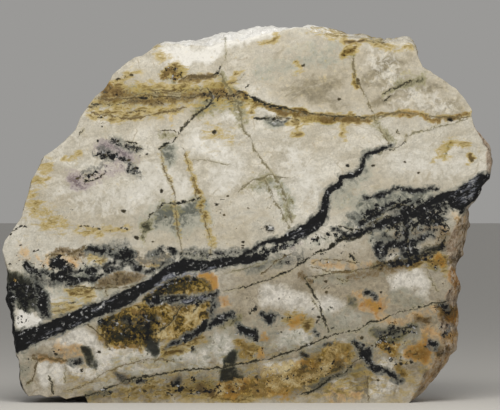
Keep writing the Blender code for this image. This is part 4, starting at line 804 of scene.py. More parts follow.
def broken(points):
    """Points beyond a facet's plane brought back to it along its normal, each plane a little uneven."""
    for salt, (way, distance) in enumerate(FACETS):
        way = np.array(way) / np.linalg.norm(way)
        uneven = FACET_ROUGHNESS * lumps(points, LUMP_SIZE, 40 + salt)
        beyond = (points - MIDDLE) @ way - distance + uneven
        points = points - way * np.maximum(beyond, 0.0)[..., None]
    return points


def main_vein(x, depth):
    """Height of the main vein at x, at a depth behind the sawn face."""
    return np.interp(x, *np.array(MAIN_VEIN).T) + VEIN_DIP * depth


def fine_relief(points):
    """The small lumps and grains of a broken surface, in millimetres below its mean.

    It is the sum of lumps of 3.4 and 1.5 mm and clouds of 0.7 mm, by 0.8, 0.4 and 0.12 mm.
    """
    coarse = 0.8 * (0.5 - lumps(points, 3.4, 61))
    return coarse + 0.4 * (0.5 - lumps(points, 1.5, 71)) + 0.12 * clouds(points, 0.7, 81)


def wall_sections():
    """Sections of the wall as (section, point, xyz).

    Each section is the outline, which turns into its own smoothed line with the depth, drawn in by
    the sum of the sawn edge's inset, which fades out as (1 - (depth / reach) ** 0.65) ** 1.5, the
    back's rounding with the depth cubed, the scars, lumps, groove, fine relief and chips. Sections
    lie closer together near the sawn edge.
    """
    ring = np.concatenate([stations(LEFT_RUN, CELLS_UP), stations(TOP_RUN, CELLS_ACROSS),
                           stations(RIGHT_RUN, CELLS_UP), stations(BASE_RUN, CELLS_ACROSS)])
    unit = len(ring) / OUTLINE_STEPS
    outline, inset, reach = ring[:, :2], ring[:, 2], ring[:, 3]
    smooth = blurred(outline, OUTLINE_SMOOTHED * unit)
    along = np.roll(smooth, -1, axis=0) - np.roll(smooth, 1, axis=0)
    outward = np.stack([-along[:, 1], along[:, 0]], axis=-1)
    outward /= np.linalg.norm(outward, axis=-1, keepdims=True)
    under = np.arange(len(ring)) >= len(ring) - CELLS_ACROSS
    free = 1.0 - blurred(under[:, None].astype(float), BASE_FADE * unit)[:, 0]
    free *= ease(outline[:, 1], 0.0, 5.0)

    share = np.linspace(0.0, 1.0, WALL_SECTIONS + 1)[:, None]
    depth = (0.78 * share ** 2 + 0.22 * share) * RIM_DEPTH
    settled = ease(depth, reach, reach + OUTLINE_BLEND)[..., None] * free[:, None]
    section = outline * (1.0 - settled) + smooth * settled
    inset = inset + EDGE_WEAR * ease(outline[:, 1], 0.2, 1.5)
    drawn_in = inset * (1.0 - np.clip(depth / reach, 0.0, 1.0) ** 0.65) ** 1.5
    drawn_in = drawn_in + free * BACK_EDGE_ROUND * (depth / RIM_DEPTH) ** 3
    body = np.stack([section[..., 0], np.broadcast_to(depth + FACE_Y, section.shape[:2]),
                     section[..., 1]], axis=-1)
    scars = SCAR_DEPTH * lumps(body, SCAR_SIZE, 11)
    bumps = LUMP_HEIGHT * (1.0 - lumps(body, LUMP_SIZE, 23))
    from_vein = body[..., 2] - main_vein(body[..., 0], depth)
    groove = VEIN_GROOVE * np.exp(-(from_vein / VEIN_HALF_WIDTH) ** 2)
    drawn_in = drawn_in + (scars + bumps + groove) * free * ease(depth, reach, reach + SCARS_DEEPEN)
    fine = fine_relief(body)
    drawn_in = drawn_in + fine * free * ease(depth, 0.0, 1.5)
    chips = CHIP_DEPTH * ease(clouds(body, 2.6, 91), 0.35, 0.9)
    chips = chips + NICK_DEPTH * ease(clouds(body, 0.9, 93), 0.1, 0.8)
    drawn_in = drawn_in + chips * (1.0 - ease(depth, 0.4, 2.5)) * ease(outline[:, 1], 0.5, 2.0)
    body[..., 0] -= outward[:, 0] * drawn_in
    body[..., 2] -= outward[:, 1] * drawn_in
    body[..., 2] = np.where(body[..., 2] < ON_FLOOR, 0.0, body[..., 2])
    return body


def patch(ring, across, up):
    """A closed ring filled with a Coons patch, as (up, across, xyz).

    Each point blends the four sides: base and top by height, left and right by width, less the
    surface through the four corners, which both blends hold.
    """
    corner = np.cumsum([0, up, across, up])
    loop = np.concatenate([ring, ring[:1]])
    left = loop[corner[0]:corner[1] + 1][:, None]
    top = loop[corner[1]:corner[2] + 1][None]
    right = loop[corner[2]:corner[3] + 1][::-1][:, None]
    base = loop[corner[3]:][::-1][None]
    u = np.linspace(0.0, 1.0, across + 1)[None, :, None]
    v = np.linspace(0.0, 1.0, up + 1)[:, None, None]
    low = base[:, :1] * (1.0 - u) + base[:, -1:] * u
    high = top[:, :1] * (1.0 - u) + top[:, -1:] * u
    return base * (1.0 - v) + top * v + left * (1.0 - u) + right * u - low * (1.0 - v) - high * v


def back_grid(rim):
    """The broken back: it rises behind its rim, steps at the main vein and carries scars.

    The patch over the rim is moved back by the rise, scars and lumps, less the ledge. All of that
    fades to the rim as 8u(1 - u) times 8v(1 - v), held to 1, and fine relief nearer to it.
    """
    across, up = CELLS_ACROSS // 2, CELLS_UP // 2
    grid = patch(rim[::2], across, up)
    u = np.linspace(0.0, 1.0, across + 1)[None]
    v = np.linspace(0.0, 1.0, up + 1)[:, None]
    inner = np.clip(8.0 * u * (1.0 - u), 0.0, 1.0) * np.clip(8.0 * v * (1.0 - v), 0.0, 1.0)
    from_vein = grid[..., 2] - main_vein(grid[..., 0], RIM_DEPTH)
    ledge = LEDGE_HEIGHT * ease(from_vein, -LEDGE_RUN, LEDGE_RUN)
    relief = SCAR_DEPTH * (1.0 - lumps(grid, SCAR_SIZE, 11)) + LUMP_HEIGHT * lumps(grid, LUMP_SIZE, 23)
    edge = np.clip(30.0 * u * (1.0 - u), 0.0, 1.0) * np.clip(30.0 * v * (1.0 - v), 0.0, 1.0)
    grid[..., 1] += inner * (BACK_RISE + relief - ledge) - edge * fine_relief(grid)
    return grid


def grid_numbers(ring, inside, across, up):
    """Vertex numbers of a grid whose rim is a closed ring and whose inside is numbered in order."""
    numbers = np.empty((up + 1, across + 1), dtype=np.int64)
    loop = np.append(ring, ring[0])
    numbers[:, 0] = loop[:up + 1]
    numbers[up, :] = loop[up:up + across + 1]
    numbers[::-1, across] = loop[up + across:2 * up + across + 1]
    numbers[0, ::-1] = loop[2 * up + across:]
    numbers[1:-1, 1:-1] = inside + np.arange((up - 1) * (across - 1)).reshape(up - 1, across - 1)
    return numbers


def quads(numbers):
    """The four-sided faces between neighbouring rows and columns of a grid of numbers."""
    return np.stack([numbers[:-1, :-1], numbers[:-1, 1:], numbers[1:, 1:], numbers[1:, :-1]], axis=-1)


def stone_surface():
    """Points in millimetres, quads and triangles of the whole closed stone."""
    sections = wall_sections()
    face = patch(sections[0], CELLS_ACROSS, CELLS_UP)
    back = broken(back_grid(sections[-1]))
    sections = broken(sections)
    points = np.concatenate([sections.reshape(-1, 3), face[1:-1, 1:-1].reshape(-1, 3),
                             back[1:-1, 1:-1].reshape(-1, 3)])
    rows, around = sections.shape[:2]
    ring = np.arange(rows * around).reshape(rows, around)
    face_numbers = grid_numbers(ring[0], rows * around, CELLS_ACROSS, CELLS_UP)
    after_face = rows * around + (CELLS_ACROSS - 1) * (CELLS_UP - 1)
    back_numbers = grid_numbers(ring[-1, ::2], after_face, CELLS_ACROSS // 2, CELLS_UP // 2)
    closed = np.concatenate([ring, ring[:, :1]], axis=1)
    four = np.concatenate([quads(face_numbers).reshape(-1, 4), quads(closed).reshape(-1, 4),
                           quads(back_numbers)[..., ::-1].reshape(-1, 4)])
    last = closed[-1]
    three = np.stack([last[:-1:2], last[1::2], last[2::2]], axis=-1)
    return points, four, three


# The kinds of stain and grain, three to each vector that the mesh carries: the vector's name, the
# table of the marks, and the kinds.
KINDS = (
    ("stain_warm", STAINS, ("ochre", "peach", "brown")),
    ("stain_cool", STAINS, ("grey", "olive", "white")),
    ("stain_rare", STAINS, ("violet", "amber", "smoke")),
    ("stain_last", STAINS, ("pine", "cream", "haze")),
    ("grains", GRAINS, ("black", "gold", "steel_and_sheen")),
    ("ground", GRAINS, ("gilt", "dusk", "threads_and_glints")),
)

# Distances on the sawn face, in millimetres: how far round itself a mark is looked for, and what
# stands for no mark near.
REACH = 3.0
FAR = 9.0

# How far the distance from a crack or fleck is kept true, and how fast it grows beyond that, so
# that nothing is drawn where one mark hands over to the next.
TRUE_WITHIN = 1.4
GROWS_BEYOND = 60.0

# Cracks are shared out over this many sheets. Flecks lie no deeper in the stone than this.
CRACK_SHEETS = 5
FLECKS_WITHIN = 1.5


def on_face(marks):
    """Triples of grid counts as rows in millimetres: x from the middle, z up, and a half width."""
    marks = np.array(marks, dtype=float).reshape(-1, 3)
    return np.stack([marks[:, 0] - GRID_MIDDLE, GRID_FLOOR - marks[:, 1], marks[:, 2]], axis=-1) * GRID


def sheet_place(points):
    """Where the stone's sheets cross each point, as x and z on the sawn face.

    On the sawn face that is the point itself. Behind it the sheets dip with the main vein and
    drift by a tenth of the depth, and noises of 14 and 11 mm move them by up to 2.6 and 1.8 mm, so
    that the broken sides and the back aren't straight copies.
    """
    depth = points[:, 1] - FACE_Y
    wander = ease(depth, 0.3, 12.0)
    x = points[:, 0] - 0.1 * depth + 2.6 * wander * clouds(points, 14.0, 131)
    z = points[:, 2] - VEIN_DIP * depth + 1.8 * wander * clouds(points, 11.0, 137)
    return np.stack([x, z], axis=-1)


def ragged(places, depth, amount):
    """Places moved by noises of about 4, 1.7 and 0.9 mm, so that what is drawn there has torn edges."""
    spots = np.concatenate([places, 0.5 * depth[:, None]], axis=-1)
    moved = places.copy()
    for size, share in ((4.2, 1.0), (1.7, 0.55), (0.9, 0.3)):
        for k in range(2):
            moved[:, k] += amount * share * clouds(spots, size, 151 + 7 * k)
    return moved


def to_segments(places, stroke):
    """From each place to each segment of a stroke.

    Gives the segments' runs, the ways from their starts, the distances, and the half width at the
    nearest point, which is blended along each segment.
    """
    run = stroke[1:, :2] - stroke[:-1, :2]
    away = places[:, None] - stroke[:-1, :2]
    share = np.clip((away * run).sum(-1) / np.maximum((run ** 2).sum(-1), 1e-9), 0.0, 1.0)
    distance = np.linalg.norm(away - share[..., None] * run, axis=-1)
    return run, away, distance, stroke[:-1, 2] + share * np.diff(stroke[:, 2])


def inside_stroke(places, stroke, reach):
    """How far each place lies inside a stroke: half width less distance, in millimetres.

    The largest value over the stroke's segments counts. Places further off than the reach keep
    minus the reach.
    """
    if len(stroke) == 1:
        stroke = np.repeat(stroke, 2, axis=0)
    found = np.full(len(places), -reach)
    low = (stroke[:, :2] - stroke[:, 2:3]).min(axis=0) - reach
    high = (stroke[:, :2] + stroke[:, 2:3]).max(axis=0) + reach
    near = np.flatnonzero(((places > low) & (places < high)).all(axis=-1))
    _, _, distance, half = to_segments(places[near], stroke)
    found[near] = np.maximum((half - distance).max(axis=1, initial=-reach), -reach)
    return found


def ore_field(places, strokes):
    """Millimetres inside the nearest dark stroke, negative outside, up to the reach either way."""
    inside = np.full(len(places), -REACH)
    for stroke in strokes:
        inside = np.maximum(inside, inside_stroke(places, on_face(stroke), REACH))
    return np.minimum(inside, REACH)


def crack_lines():
    """Cracks shared out over a few sheets, so that no two lines of a sheet run close together.

    Each crack goes to the sheet whose lines are furthest from it. Its line is drawn out a little at
    both ends, where its half width falls to nothing.
    """
    sheets = [[] for _ in range(CRACK_SHEETS)]
    for crack in CRACKS:
        line = on_face(crack[1:])
        ends = np.stack([line[0], line[-1]])
        ends[:, 2] = 0.0
        ends[:, :2] += np.stack([line[0] - line[1], line[-1] - line[-2]])[:, :2] * 0.05
        line = np.concatenate([ends[:1], line, ends[1:]])
        gaps = []
        for sheet in sheets:
            ways = [np.linalg.norm(line[:, None, :2] - other[:, :2], axis=-1).min() for _, other in sheet]
            gaps.append(min(ways, default=np.inf))
        sheets[int(np.argmax(gaps))].append((crack[0], line))
    return sheets


def crack_field(places, sheet):
    """For the sheet's nearest line: the distance to its left, its half width, its darkness."""
    nearest = np.full(len(places), FAR)
    found = np.zeros((len(places), 3))
    found[:, 0] = FAR
    for darkness, line in sheet:
        low, high = line[:, :2].min(axis=0) - REACH, line[:, :2].max(axis=0) + REACH
        near = np.flatnonzero(((places > low) & (places < high)).all(axis=-1))
        run, away, distance, half = to_segments(places[near], line)
        rows, best = np.arange(len(near)), distance.argmin(axis=1)
        distance, half, away, run = distance[rows, best], half[rows, best], away[rows, best], run[best]
        side = run[:, 0] * away[:, 1] - run[:, 1] * away[:, 0]
        closer = distance < nearest[near]
        chosen = near[closer]
        nearest[chosen] = distance[closer]
        found[chosen, 0] = np.where(side > 0.0, distance, -distance)[closer]
        found[chosen, 1] = half[closer]
        found[chosen, 2] = darkness
    found[:, 0] *= 1.0 + GROWS_BEYOND * np.maximum(np.abs(found[:, 0]) - TRUE_WITHIN, 0.0)
    return found


def fleck_field(places, depth):
    """For the nearest fleck: the place in its own ellipse, whose rim is at 1, and its darkness."""
    nearest = np.full(len(places), FAR)
    found = np.zeros((len(places), 3))
    found[:, 0] = FAR
    for across, down, half_length, half_width, turn, darkness in FLECKS:
        centre = on_face((across, down, 0.0))[0, :2]
        size = np.array([half_length, half_width]) * GRID
        near = np.flatnonzero((np.abs(places - centre) < REACH).all(axis=-1))
        angle = np.radians(turn)
        turned = (places[near] - centre) @ np.array([[np.cos(angle), -np.sin(angle)],
                                                     [np.sin(angle), np.cos(angle)]])
        local = turned / size
        away = (np.linalg.norm(local, axis=-1) - 1.0) * size.min()
        closer = away < nearest[near]
        chosen = near[closer]
        nearest[chosen] = away[closer]
        found[chosen, :2] = local[closer]
        found[chosen, 2] = darkness
    found[:, :2] *= (1.0 + GROWS_BEYOND * np.maximum(nearest - TRUE_WITHIN, 0.0))[:, None]
    found[:, :2] += np.where(depth > FLECKS_WITHIN, FAR, 0.0)[:, None]
    return found


def cover_field(places, marks, kinds):
    """Cover by each kind of mark, from 0 to 1.

    A stroke covers by its strength inside, and fades out over its softness around its edge.
    Strokes of one kind lie over one another as washes of colour do.
    """
    bare = np.ones((len(places), len(kinds)))
    for column, kind in enumerate(kinds):
        for strength, softness, *stroke in marks[kind]:
            soft = 1.4 * softness * GRID
            inside = inside_stroke(places, on_face(stroke), soft)
            bare[:, column] *= 1.0 - strength * ease(inside, -soft, 0.6 * soft)
    return 1.0 - bare


def give_field(mesh, name, values):
    """Stores one number or one vector per point as an attribute of the mesh."""
    kind, key = ("FLOAT", "value") if values.ndim == 1 else ("FLOAT_VECTOR", "vector")
    layer = mesh.attributes.new(name, kind, "POINT")
    layer.data.foreach_set(key, np.ascontiguousarray(values, dtype=np.float32).ravel())


def rind_field(points, depth):
    """Where the broken sides carry a skin, iron tan and dark bark, and a painted highlight, from 0 to 1.

    Each is a smooth step of the place: tan on the right and the back, bark low on the left, and
    the painted highlight along the top, where the top faces the light.
    """
    broken_side = ease(depth, 0.0, 0.6)
    x, z = points[:, 0], points[:, 2]
    low = 1.0 - ease(z, 66.0, 80.0)
    # Tan is the iron skin; its tones are lightened as painted light where the right wall gets little light.
    tan = 0.55 * ease(x, 36.0, 50.0) * low + 0.35 * ease(depth, 6.0, 16.0)
    bark = ease(-x, 50.0, 56.0) * ease(z, 1.0, 6.0) * (1.0 - ease(z, 28.0, 34.0))
    # Painted highlight: the top of the broken sides whitened where it faces the light.
    painted_top_light = 0.8 * ease(z, 84.0, 90.0) * (1.0 - ease(np.abs(x), 18.0, 30.0)) * (1.0 - ease(depth, 8.0, 20.0))
    return np.stack([tan, bark, painted_top_light], axis=-1) * broken_side[:, None]


def open_pit(points):
    """Points of the sawn face pushed in where a small crystal has fallen out of the upper vein.

    The depth is a smooth step of the distance from the pit's middle, in units of its half sizes.
    """
    centre = on_face((*PIT[:2], 0.0))[0, :2]
    away = (points[:, (0, 2)] - centre) / (np.array(PIT[2:4]) * GRID)
    pushed = PIT[4] * (1.0 - ease(np.linalg.norm(away, axis=-1), 0.3, 1.2))
    points[:, 1] += np.where(points[:, 1] < FACE_Y + 0.01, pushed, 0.0)


def stone_mesh():
    """The stone's mesh, with the fields that its material draws from."""
    points, four, three = stone_surface()
    depth = points[:, 1] - FACE_Y
    places = sheet_place(points)
    torn = ragged(places, depth, 0.9)
    worn = ragged(places, depth, 0.45)
    open_pit(points)
    mesh = bpy.data.meshes.new("silver_ore_stone")
    mesh.from_pydata(points * MM, [], four.tolist() + three.tolist())
    rind = rind_field(points, depth)
    hollow = ease(fine_relief(points), -0.2, 0.5) * (1.0 - ease(points[:, 2], 68.0, 84.0))
    depths = [ore_field(places, ORE_VEINS), ore_field(worn, ORE_PATCHES), hollow]
    give_field(mesh, "depths", np.stack(depths, axis=-1))
    for number, lines in enumerate(crack_lines()):
        give_field(mesh, f"crack_{number + 1}", crack_field(places, lines))
    give_field(mesh, "fleck", fleck_field(places, depth))
    for name, marks, kinds in KINDS:
        give_field(mesh, name, cover_field(torn, marks, kinds))
    give_field(mesh, "rough", ease(depth, 0.0, 0.5))
    give_field(mesh, "rind", rind)
    return mesh


def node(tree, kind, inputs, out=0, **settings):
    """Adds a shader node with its settings, feeds its sockets and returns one of its outputs."""
    made = tree.nodes.new("ShaderNode" + kind)
    for name, value in settings.items():
        setattr(made, name, value)
    for name, value in inputs.items():
        if isinstance(value, bpy.types.NodeSocket):
            tree.links.new(value, made.inputs[name])
        else:
            made.inputs[name].default_value = value
    return made.outputs[out]


def layer(tree, below, cover, tone, first, second):
    """Lays a colour that runs between two tones over what is below it."""
    colour = node(tree, "Mix", {0: tone, 6: linear(first), 7: linear(second)}, 2, data_type="RGBA")
    return node(tree, "Mix", {0: cover, 6: below, 7: colour}, 2, data_type="RGBA")


def patterns(tree, mm):
    """The stone's cloudy patterns by name, each spread out to run from about 0 to 1.

    Their sizes are real ones in millimetres: clouds of the quartz 12 and 3.2, mottles of the stains
    1.7, grains 0.6, bedding 1.1 drawn out along the stone, sulphide crystals 0.8 and dust 0.35. A
    row gives the size, the noise's detail, roughness and distortion, its turn about y in radians,
    and how far it is drawn out.
    """
    made = {}
    for name, size, detail, share, bend, turn, drawn_out in (
            ("broad", 12.0, 5.0, 0.60, 0.8, -0.26, 2.0), ("wisps", 3.2, 6.0, 0.62, 1.0, -0.26, 1.8),
            ("mottle", 1.7, 6.0, 0.68, 0.5, 0.0, 1.0), ("speckle", 0.6, 4.0, 0.75, 0.0, 0.0, 1.0),
            ("streaky", 1.1, 5.0, 0.68, 0.6, -0.09, 2.4), ("sheen", 0.6, 5.0, 0.75, 0.4, -0.38, 4.0),
            ("dust", 0.35, 2.0, 0.5, 0.0, 0.0, 1.0)):
        place = node(tree, "Mapping", {"Vector": mm, "Rotation": (0.0, turn, 0.0),
                                       "Scale": (drawn_out, 1.0, 1.0)}, vector_type="TEXTURE")
        noise = node(tree, "TexNoise", {"Vector": place, "Scale": 1 / size, "Detail": detail,
                                        "Roughness": share, "Distortion": bend})
        made[name] = node(tree, "MapRange", {0: noise, 1: 0.38, 2: 0.62})
    shift = node(tree, "TexNoise", {"Vector": mm, "Scale": 1 / 0.5, "Detail": 2.0}, 1)
    shift = node(tree, "VectorMath", {0: shift, "Scale": 1.1}, operation="SCALE")
    bent = node(tree, "VectorMath", {0: mm, 1: shift}, operation="ADD")
    cells = node(tree, "TexVoronoi", {"Vector": bent, "Scale": 1 / 0.8}, 1)
    split = node(tree, "SeparateColor", {0: cells}).node
    made["crystal"], made["facet"] = split.outputs[0], split.outputs[1]
    grainy = node(tree, "Math", {0: made["mottle"], 1: made["speckle"]}, operation="ADD")
    grainy = node(tree, "Math", {0: grainy, 1: 0.30}, operation="MULTIPLY")
    made["grainy"] = node(tree, "Math", {0: made["crystal"], 1: 0.40, 2: grainy},
                          operation="MULTIPLY_ADD")
    return made


def quartz(tree, mm, seen, look):
    """Milky vein quartz: cloudy cream and white, greyer where it is clear, with fine healed seams."""
    colour = node(tree, "Mix", {0: seen["broad"], 6: look.quartz, 7: linear("#BBB4A3")}, 2,
                  data_type="RGBA")
    veil = node(tree, "MapRange", {0: seen["wisps"], 1: 0.35, 2: 1.0, 4: 0.6},
                interpolation_type="SMOOTHSTEP")
    colour = layer(tree, colour, veil, seen["broad"], "#E6E3DA", "#D8D2C4")
    dull = node(tree, "MapRange", {0: seen["wisps"], 1: 0.35, 2: 0.0, 4: 0.25})
    colour = layer(tree, colour, dull, seen["mottle"], "#9A9482", "#A79A82")
    cloud = node(tree, "MapRange", {0: seen["mottle"], 3: 0.955, 4: 1.035})
    grain = node(tree, "MapRange", {0: seen["dust"], 3: 0.90, 4: 1.06})
    cloud = node(tree, "Math", {0: cloud, 1: grain}, operation="MULTIPLY")
    colour = node(tree, "Mix", {0: 1.0, 6: colour, 7: cloud}, 2, data_type="RGBA", blend_type="MULTIPLY")
    bent = node(tree, "TexNoise", {"Vector": mm, "Scale": 1 / 7.0, "Detail": 5.0}, 1)
    bent = node(tree, "VectorMath", {0: bent, "Scale": 6.0}, operation="SCALE")
    bent = node(tree, "VectorMath", {0: mm, 1: bent}, operation="ADD")
    seams = node(tree, "TexVoronoi", {"Vector": bent, "Scale": 1 / 8.0}, feature="DISTANCE_TO_EDGE")
    seam = node(tree, "MapRange", {0: seams, 1: 0.030, 2: 0.0})
    shown = node(tree, "MapRange", {0: seen["wisps"], 1: 0.50, 2: 0.85, 4: 0.5})
    seam = node(tree, "Math", {0: seam, 1: shown}, operation="MULTIPLY")
    return layer(tree, colour, seam, seen["broad"], "#8A8570", "#9C8458")


def stone_fields(tree):
    """Outputs of the mesh's own fields, split up by name."""
    fields = {}
    for name, parts in (*[(name, kinds) for name, _, kinds in KINDS],
                        ("rind", ("tan", "bark", "painted_top_light")), ("fleck", ("along", "across", "dark")),
                        ("depths", ("vein", "web", "hollow"))):
        vector = node(tree, "Attribute", {}, 1, attribute_name=name)
        split = node(tree, "SeparateXYZ", {0: vector}).node
        fields.update(zip(parts, split.outputs))
    fields["rough"] = node(tree, "Attribute", {}, 2, attribute_name="rough")
    return fields


def stain(tree, below, cover, noise, patchy, thin, thick):
    """Lays a translucent stain over what is below it, in patches with ragged edges.

    Its density runs from 0 to 2 as the cover, moved by the noise by up to half the patchy share
    either way, runs from 0.1 to 0.9. It hides 1 - 0.2 ** density of the ground, and turns from its
    thin tone to its thick one as it deepens.
    """
    level = node(tree, "Math", {0: noise, 1: -0.5}, operation="ADD")
    level = node(tree, "Math", {0: level, 1: patchy, 2: cover}, operation="MULTIPLY_ADD")
    density = node(tree, "MapRange", {0: level, 1: 0.1, 2: 0.9, 4: 2.0})
    there = node(tree, "MapRange", {0: cover, 1: 0.0, 2: 0.15})
    density = node(tree, "Math", {0: density, 1: there}, operation="MULTIPLY")
    clear = node(tree, "Math", {0: 0.2, 1: density}, operation="POWER")
    laid = node(tree, "Math", {0: 1.0, 1: clear}, operation="SUBTRACT")
    core = node(tree, "MapRange", {0: density, 1: 0.6, 2: 2.0}, interpolation_type="SMOOTHSTEP")
    return layer(tree, below, laid, core, thin, thick)


def specks(tree, grainy, share):
    """Ragged grains: they cover the share of the ground where the grainy pattern is highest."""
    level = node(tree, "Math", {0: grainy, 1: share}, operation="ADD")
    cover = node(tree, "MapRange", {0: level, 1: 0.97, 2: 1.04})
    there = node(tree, "MapRange", {0: share, 1: 0.02, 2: 0.12})
    return node(tree, "Math", {0: cover, 1: there}, operation="MULTIPLY")


def hairline(tree, name, seen, wobble):
    """One sheet of cracks: the cover of its line, that of the halo beside it, and its darkness.

    The line is where the distance from the crack, moved by the wobble, is under its half width.
    It swells and thins out along its way with the wisps and the mottle.
    """
    vector = node(tree, "Attribute", {}, 1, attribute_name=name)
    split = node(tree, "SeparateXYZ", {0: vector}).node
    off = node(tree, "Math", {0: split.outputs[0], 1: wobble}, operation="ADD")
    off = node(tree, "Math", {0: off}, operation="ABSOLUTE")
    swell = node(tree, "Math", {0: seen["wisps"], 1: seen["mottle"]}, operation="ADD")
    swell = node(tree, "MapRange", {0: swell, 1: 0.5, 2: 1.5, 3: 0.1, 4: 1.5})
    half = node(tree, "Math", {0: split.outputs[1], 1: swell}, operation="MULTIPLY")
    rim = node(tree, "Math", {0: half, 1: 1.4, 2: 0.04}, operation="MULTIPLY_ADD")
    core = node(tree, "Math", {0: half, 1: 0.4}, operation="MULTIPLY")
    line = node(tree, "MapRange", {0: off, 1: rim, 2: core}, interpolation_type="SMOOTHSTEP")
    there = node(tree, "MapRange", {0: split.outputs[1], 1: 0.02, 2: 0.10})
    line = node(tree, "Math", {0: line, 1: there}, operation="MULTIPLY")
    halo = node(tree, "MapRange", {0: off, 1: 1.0, 2: 0.0, 4: 0.25})
    halo = node(tree, "Math", {0: halo, 1: there}, operation="MULTIPLY")
    return line, halo, split.outputs[2]


def stained_quartz(tree, mm, seen, fields, look):
    """The quartz with every stain, each laid over those above it in the table.

    A row gives the stain, the pattern that makes it patchy and by how much, and its two tones.
    """
    colour = quartz(tree, mm, seen, look)
    for name, noise, patchy, thin, thick in (
            ("haze", "wisps", 0.45, "#B8AF9B", "#928972"), ("white", "mottle", 0.5, "#D4D1C8", "#E8E6E0"),
            ("grey", "mottle", 0.6, "#A8A99C", "#5C6058"), ("violet", "grainy", 0.9, "#A89C9E", "#5E505A"),
            # Painted light on the next line: the tan tones are lightened where the right wall gets little
            # light, and the white row after tan is a painted highlight along the top.
            ("tan", "mottle", 0.7, "#D2BCA4", "#BC9E84"), ("painted_top_light", "wisps", 0.6, "#E0DED8", "#F0EFEC"),
            ("peach", "mottle", 0.6, "#D6B88C", "#BC8E52"), ("olive", "grainy", 1.0, "#908C68", "#2A2A1A"),
            ("ochre", "streaky", 0.7, "#B8A25C", "#604A16"), ("gilt", "grainy", 0.9, "#A68A4A", "#5A4218"),
            ("amber", "grainy", 0.7, "#C69C4C", "#A27028"), ("brown", "grainy", 1.0, "#7E6840", "#2E2214"),
            ("pine", "mottle", 0.6, "#4A5042", "#141914"), ("smoke", "grainy", 0.9, "#72746E", "#131517")):
        colour = stain(tree, colour, fields[name], seen[noise], patchy, thin, thick)
    return colour


def altered_ground(tree, colour, seen, fields):
    """Limonite-coated crystals, side by side: from dark olive ones to golden and cream ones.

    They are darker where chlorite lies among them, and paler where the ground is cream.
    """
    cover = node(tree, "Math", {0: fields["gilt"], 1: seen["grainy"]}, operation="ADD")
    cover = node(tree, "MapRange", {0: cover, 1: 0.75, 2: 1.2, 4: 0.85})
    mixed = node(tree, "Math", {0: seen["speckle"], 1: seen["wisps"]}, operation="ADD")
    mixed = node(tree, "Math", {0: seen["facet"], 1: 1.2, 2: mixed}, operation="MULTIPLY_ADD")
    mixed = node(tree, "Math", {0: mixed, 1: seen["mottle"]}, operation="ADD")
    mixed = node(tree, "MapRange", {0: mixed, 1: 1.2, 2: 3.0})
    paler = node(tree, "Math", {0: fields["cream"], 1: 0.35, 2: mixed}, operation="MULTIPLY_ADD")
    mixed = node(tree, "Math", {0: fields["pine"], 1: -0.3, 2: paler}, operation="MULTIPLY_ADD")
    crystals = node(tree, "ValToRGB", {0: mixed})
    tones = crystals.node.color_ramp.elements
    tones[0].color = linear("#20231A")
    tones[1].color = linear("#D2C294")
    for place, tone in ((0.25, "#4A3F1C"), (0.5, "#806A2A"), (0.75, "#B0964A")):
        tones.new(place).color = linear(tone)
    colour = node(tree, "Mix", {0: cover, 6: colour, 7: crystals}, 2, data_type="RGBA")
    gold = specks(tree, seen["grainy"], fields["gold"])
    colour = layer(tree, colour, gold, seen["facet"], "#4E4020", "#B39458")
    return stain(tree, colour, fields["cream"], seen["mottle"], 0.8, "#C4AC72", "#DCCEA4")


def dappled(tree, colour, seen, fields, look):
    """The colour made lighter and darker grain by grain, and dimmed under the main vein.

    It is multiplied by 0.6 to 1.26 with the grainy pattern. A tenth of that change shows on clean
    quartz, with 0.8 of it added by the haze and 0.5 by the dusk. A few scattered crystals are
    multiplied by 0.84. The dusk, less 0.22 of the white, gives the share of the lower rock's tone.
    """
    share = node(tree, "Math", {0: fields["haze"], 1: 0.8, 2: 0.10}, operation="MULTIPLY_ADD")
    share = node(tree, "Math", {0: fields["dusk"], 1: 0.5, 2: share}, operation="MULTIPLY_ADD")
    tone = node(tree, "MapRange", {0: seen["grainy"], 1: 0.2, 2: 0.8, 3: 0.6, 4: 1.26})
    tone = node(tree, "Mix", {0: share, 2: 1.0, 3: tone})
    fine = node(tree, "Math", {0: seen["facet"], 1: seen["speckle"]}, operation="ADD")
    fine = node(tree, "MapRange", {0: fine, 1: 1.42, 2: 1.60, 3: 1.0, 4: 0.84})
    tone = node(tree, "Math", {0: tone, 1: fine}, operation="MULTIPLY")
    colour = node(tree, "Mix", {0: 1.0, 6: colour, 7: tone}, 2, data_type="RGBA", blend_type="MULTIPLY")
    dusk = node(tree, "Math", {0: fields["white"], 1: -0.22, 2: fields["dusk"]}, operation="MULTIPLY_ADD")
    return node(tree, "Mix", {0: dusk, 6: colour, 7: look.shade}, 2, data_type="RGBA",
                blend_type="MULTIPLY")


def weathered_sides(tree, colour, seen, fields):
    """The broken sides: fresh quartz crumbs in their tan skin, and darkening in their crevices."""
    crumb = node(tree, "MapRange", {0: seen["facet"], 1: 0.5, 2: 0.8, 4: 1.3})
    crumb = node(tree, "Math", {0: crumb, 1: fields["tan"]}, operation="MULTIPLY")
    crumb = node(tree, "Math", {0: crumb, 1: fields["amber"]}, operation="SUBTRACT")
    colour = layer(tree, colour, crumb, seen["speckle"], "#BFA98C", "#EBDFCE")
    # Darkening in the crevices: darker where the relief is recessed, below the top of the broken sides.
    crevice_darkening = node(tree, "Math", {0: fields["hollow"], 1: seen["mottle"]}, operation="ADD")
    crevice_darkening = node(tree, "MapRange", {0: crevice_darkening, 1: 1.0, 2: 1.8, 4: 0.75})
    crevice_darkening = node(tree, "Math", {0: crevice_darkening, 1: fields["rough"]}, operation="MULTIPLY")
    return layer(tree, colour, crevice_darkening, seen["speckle"], "#4A4030", "#2E2A22")


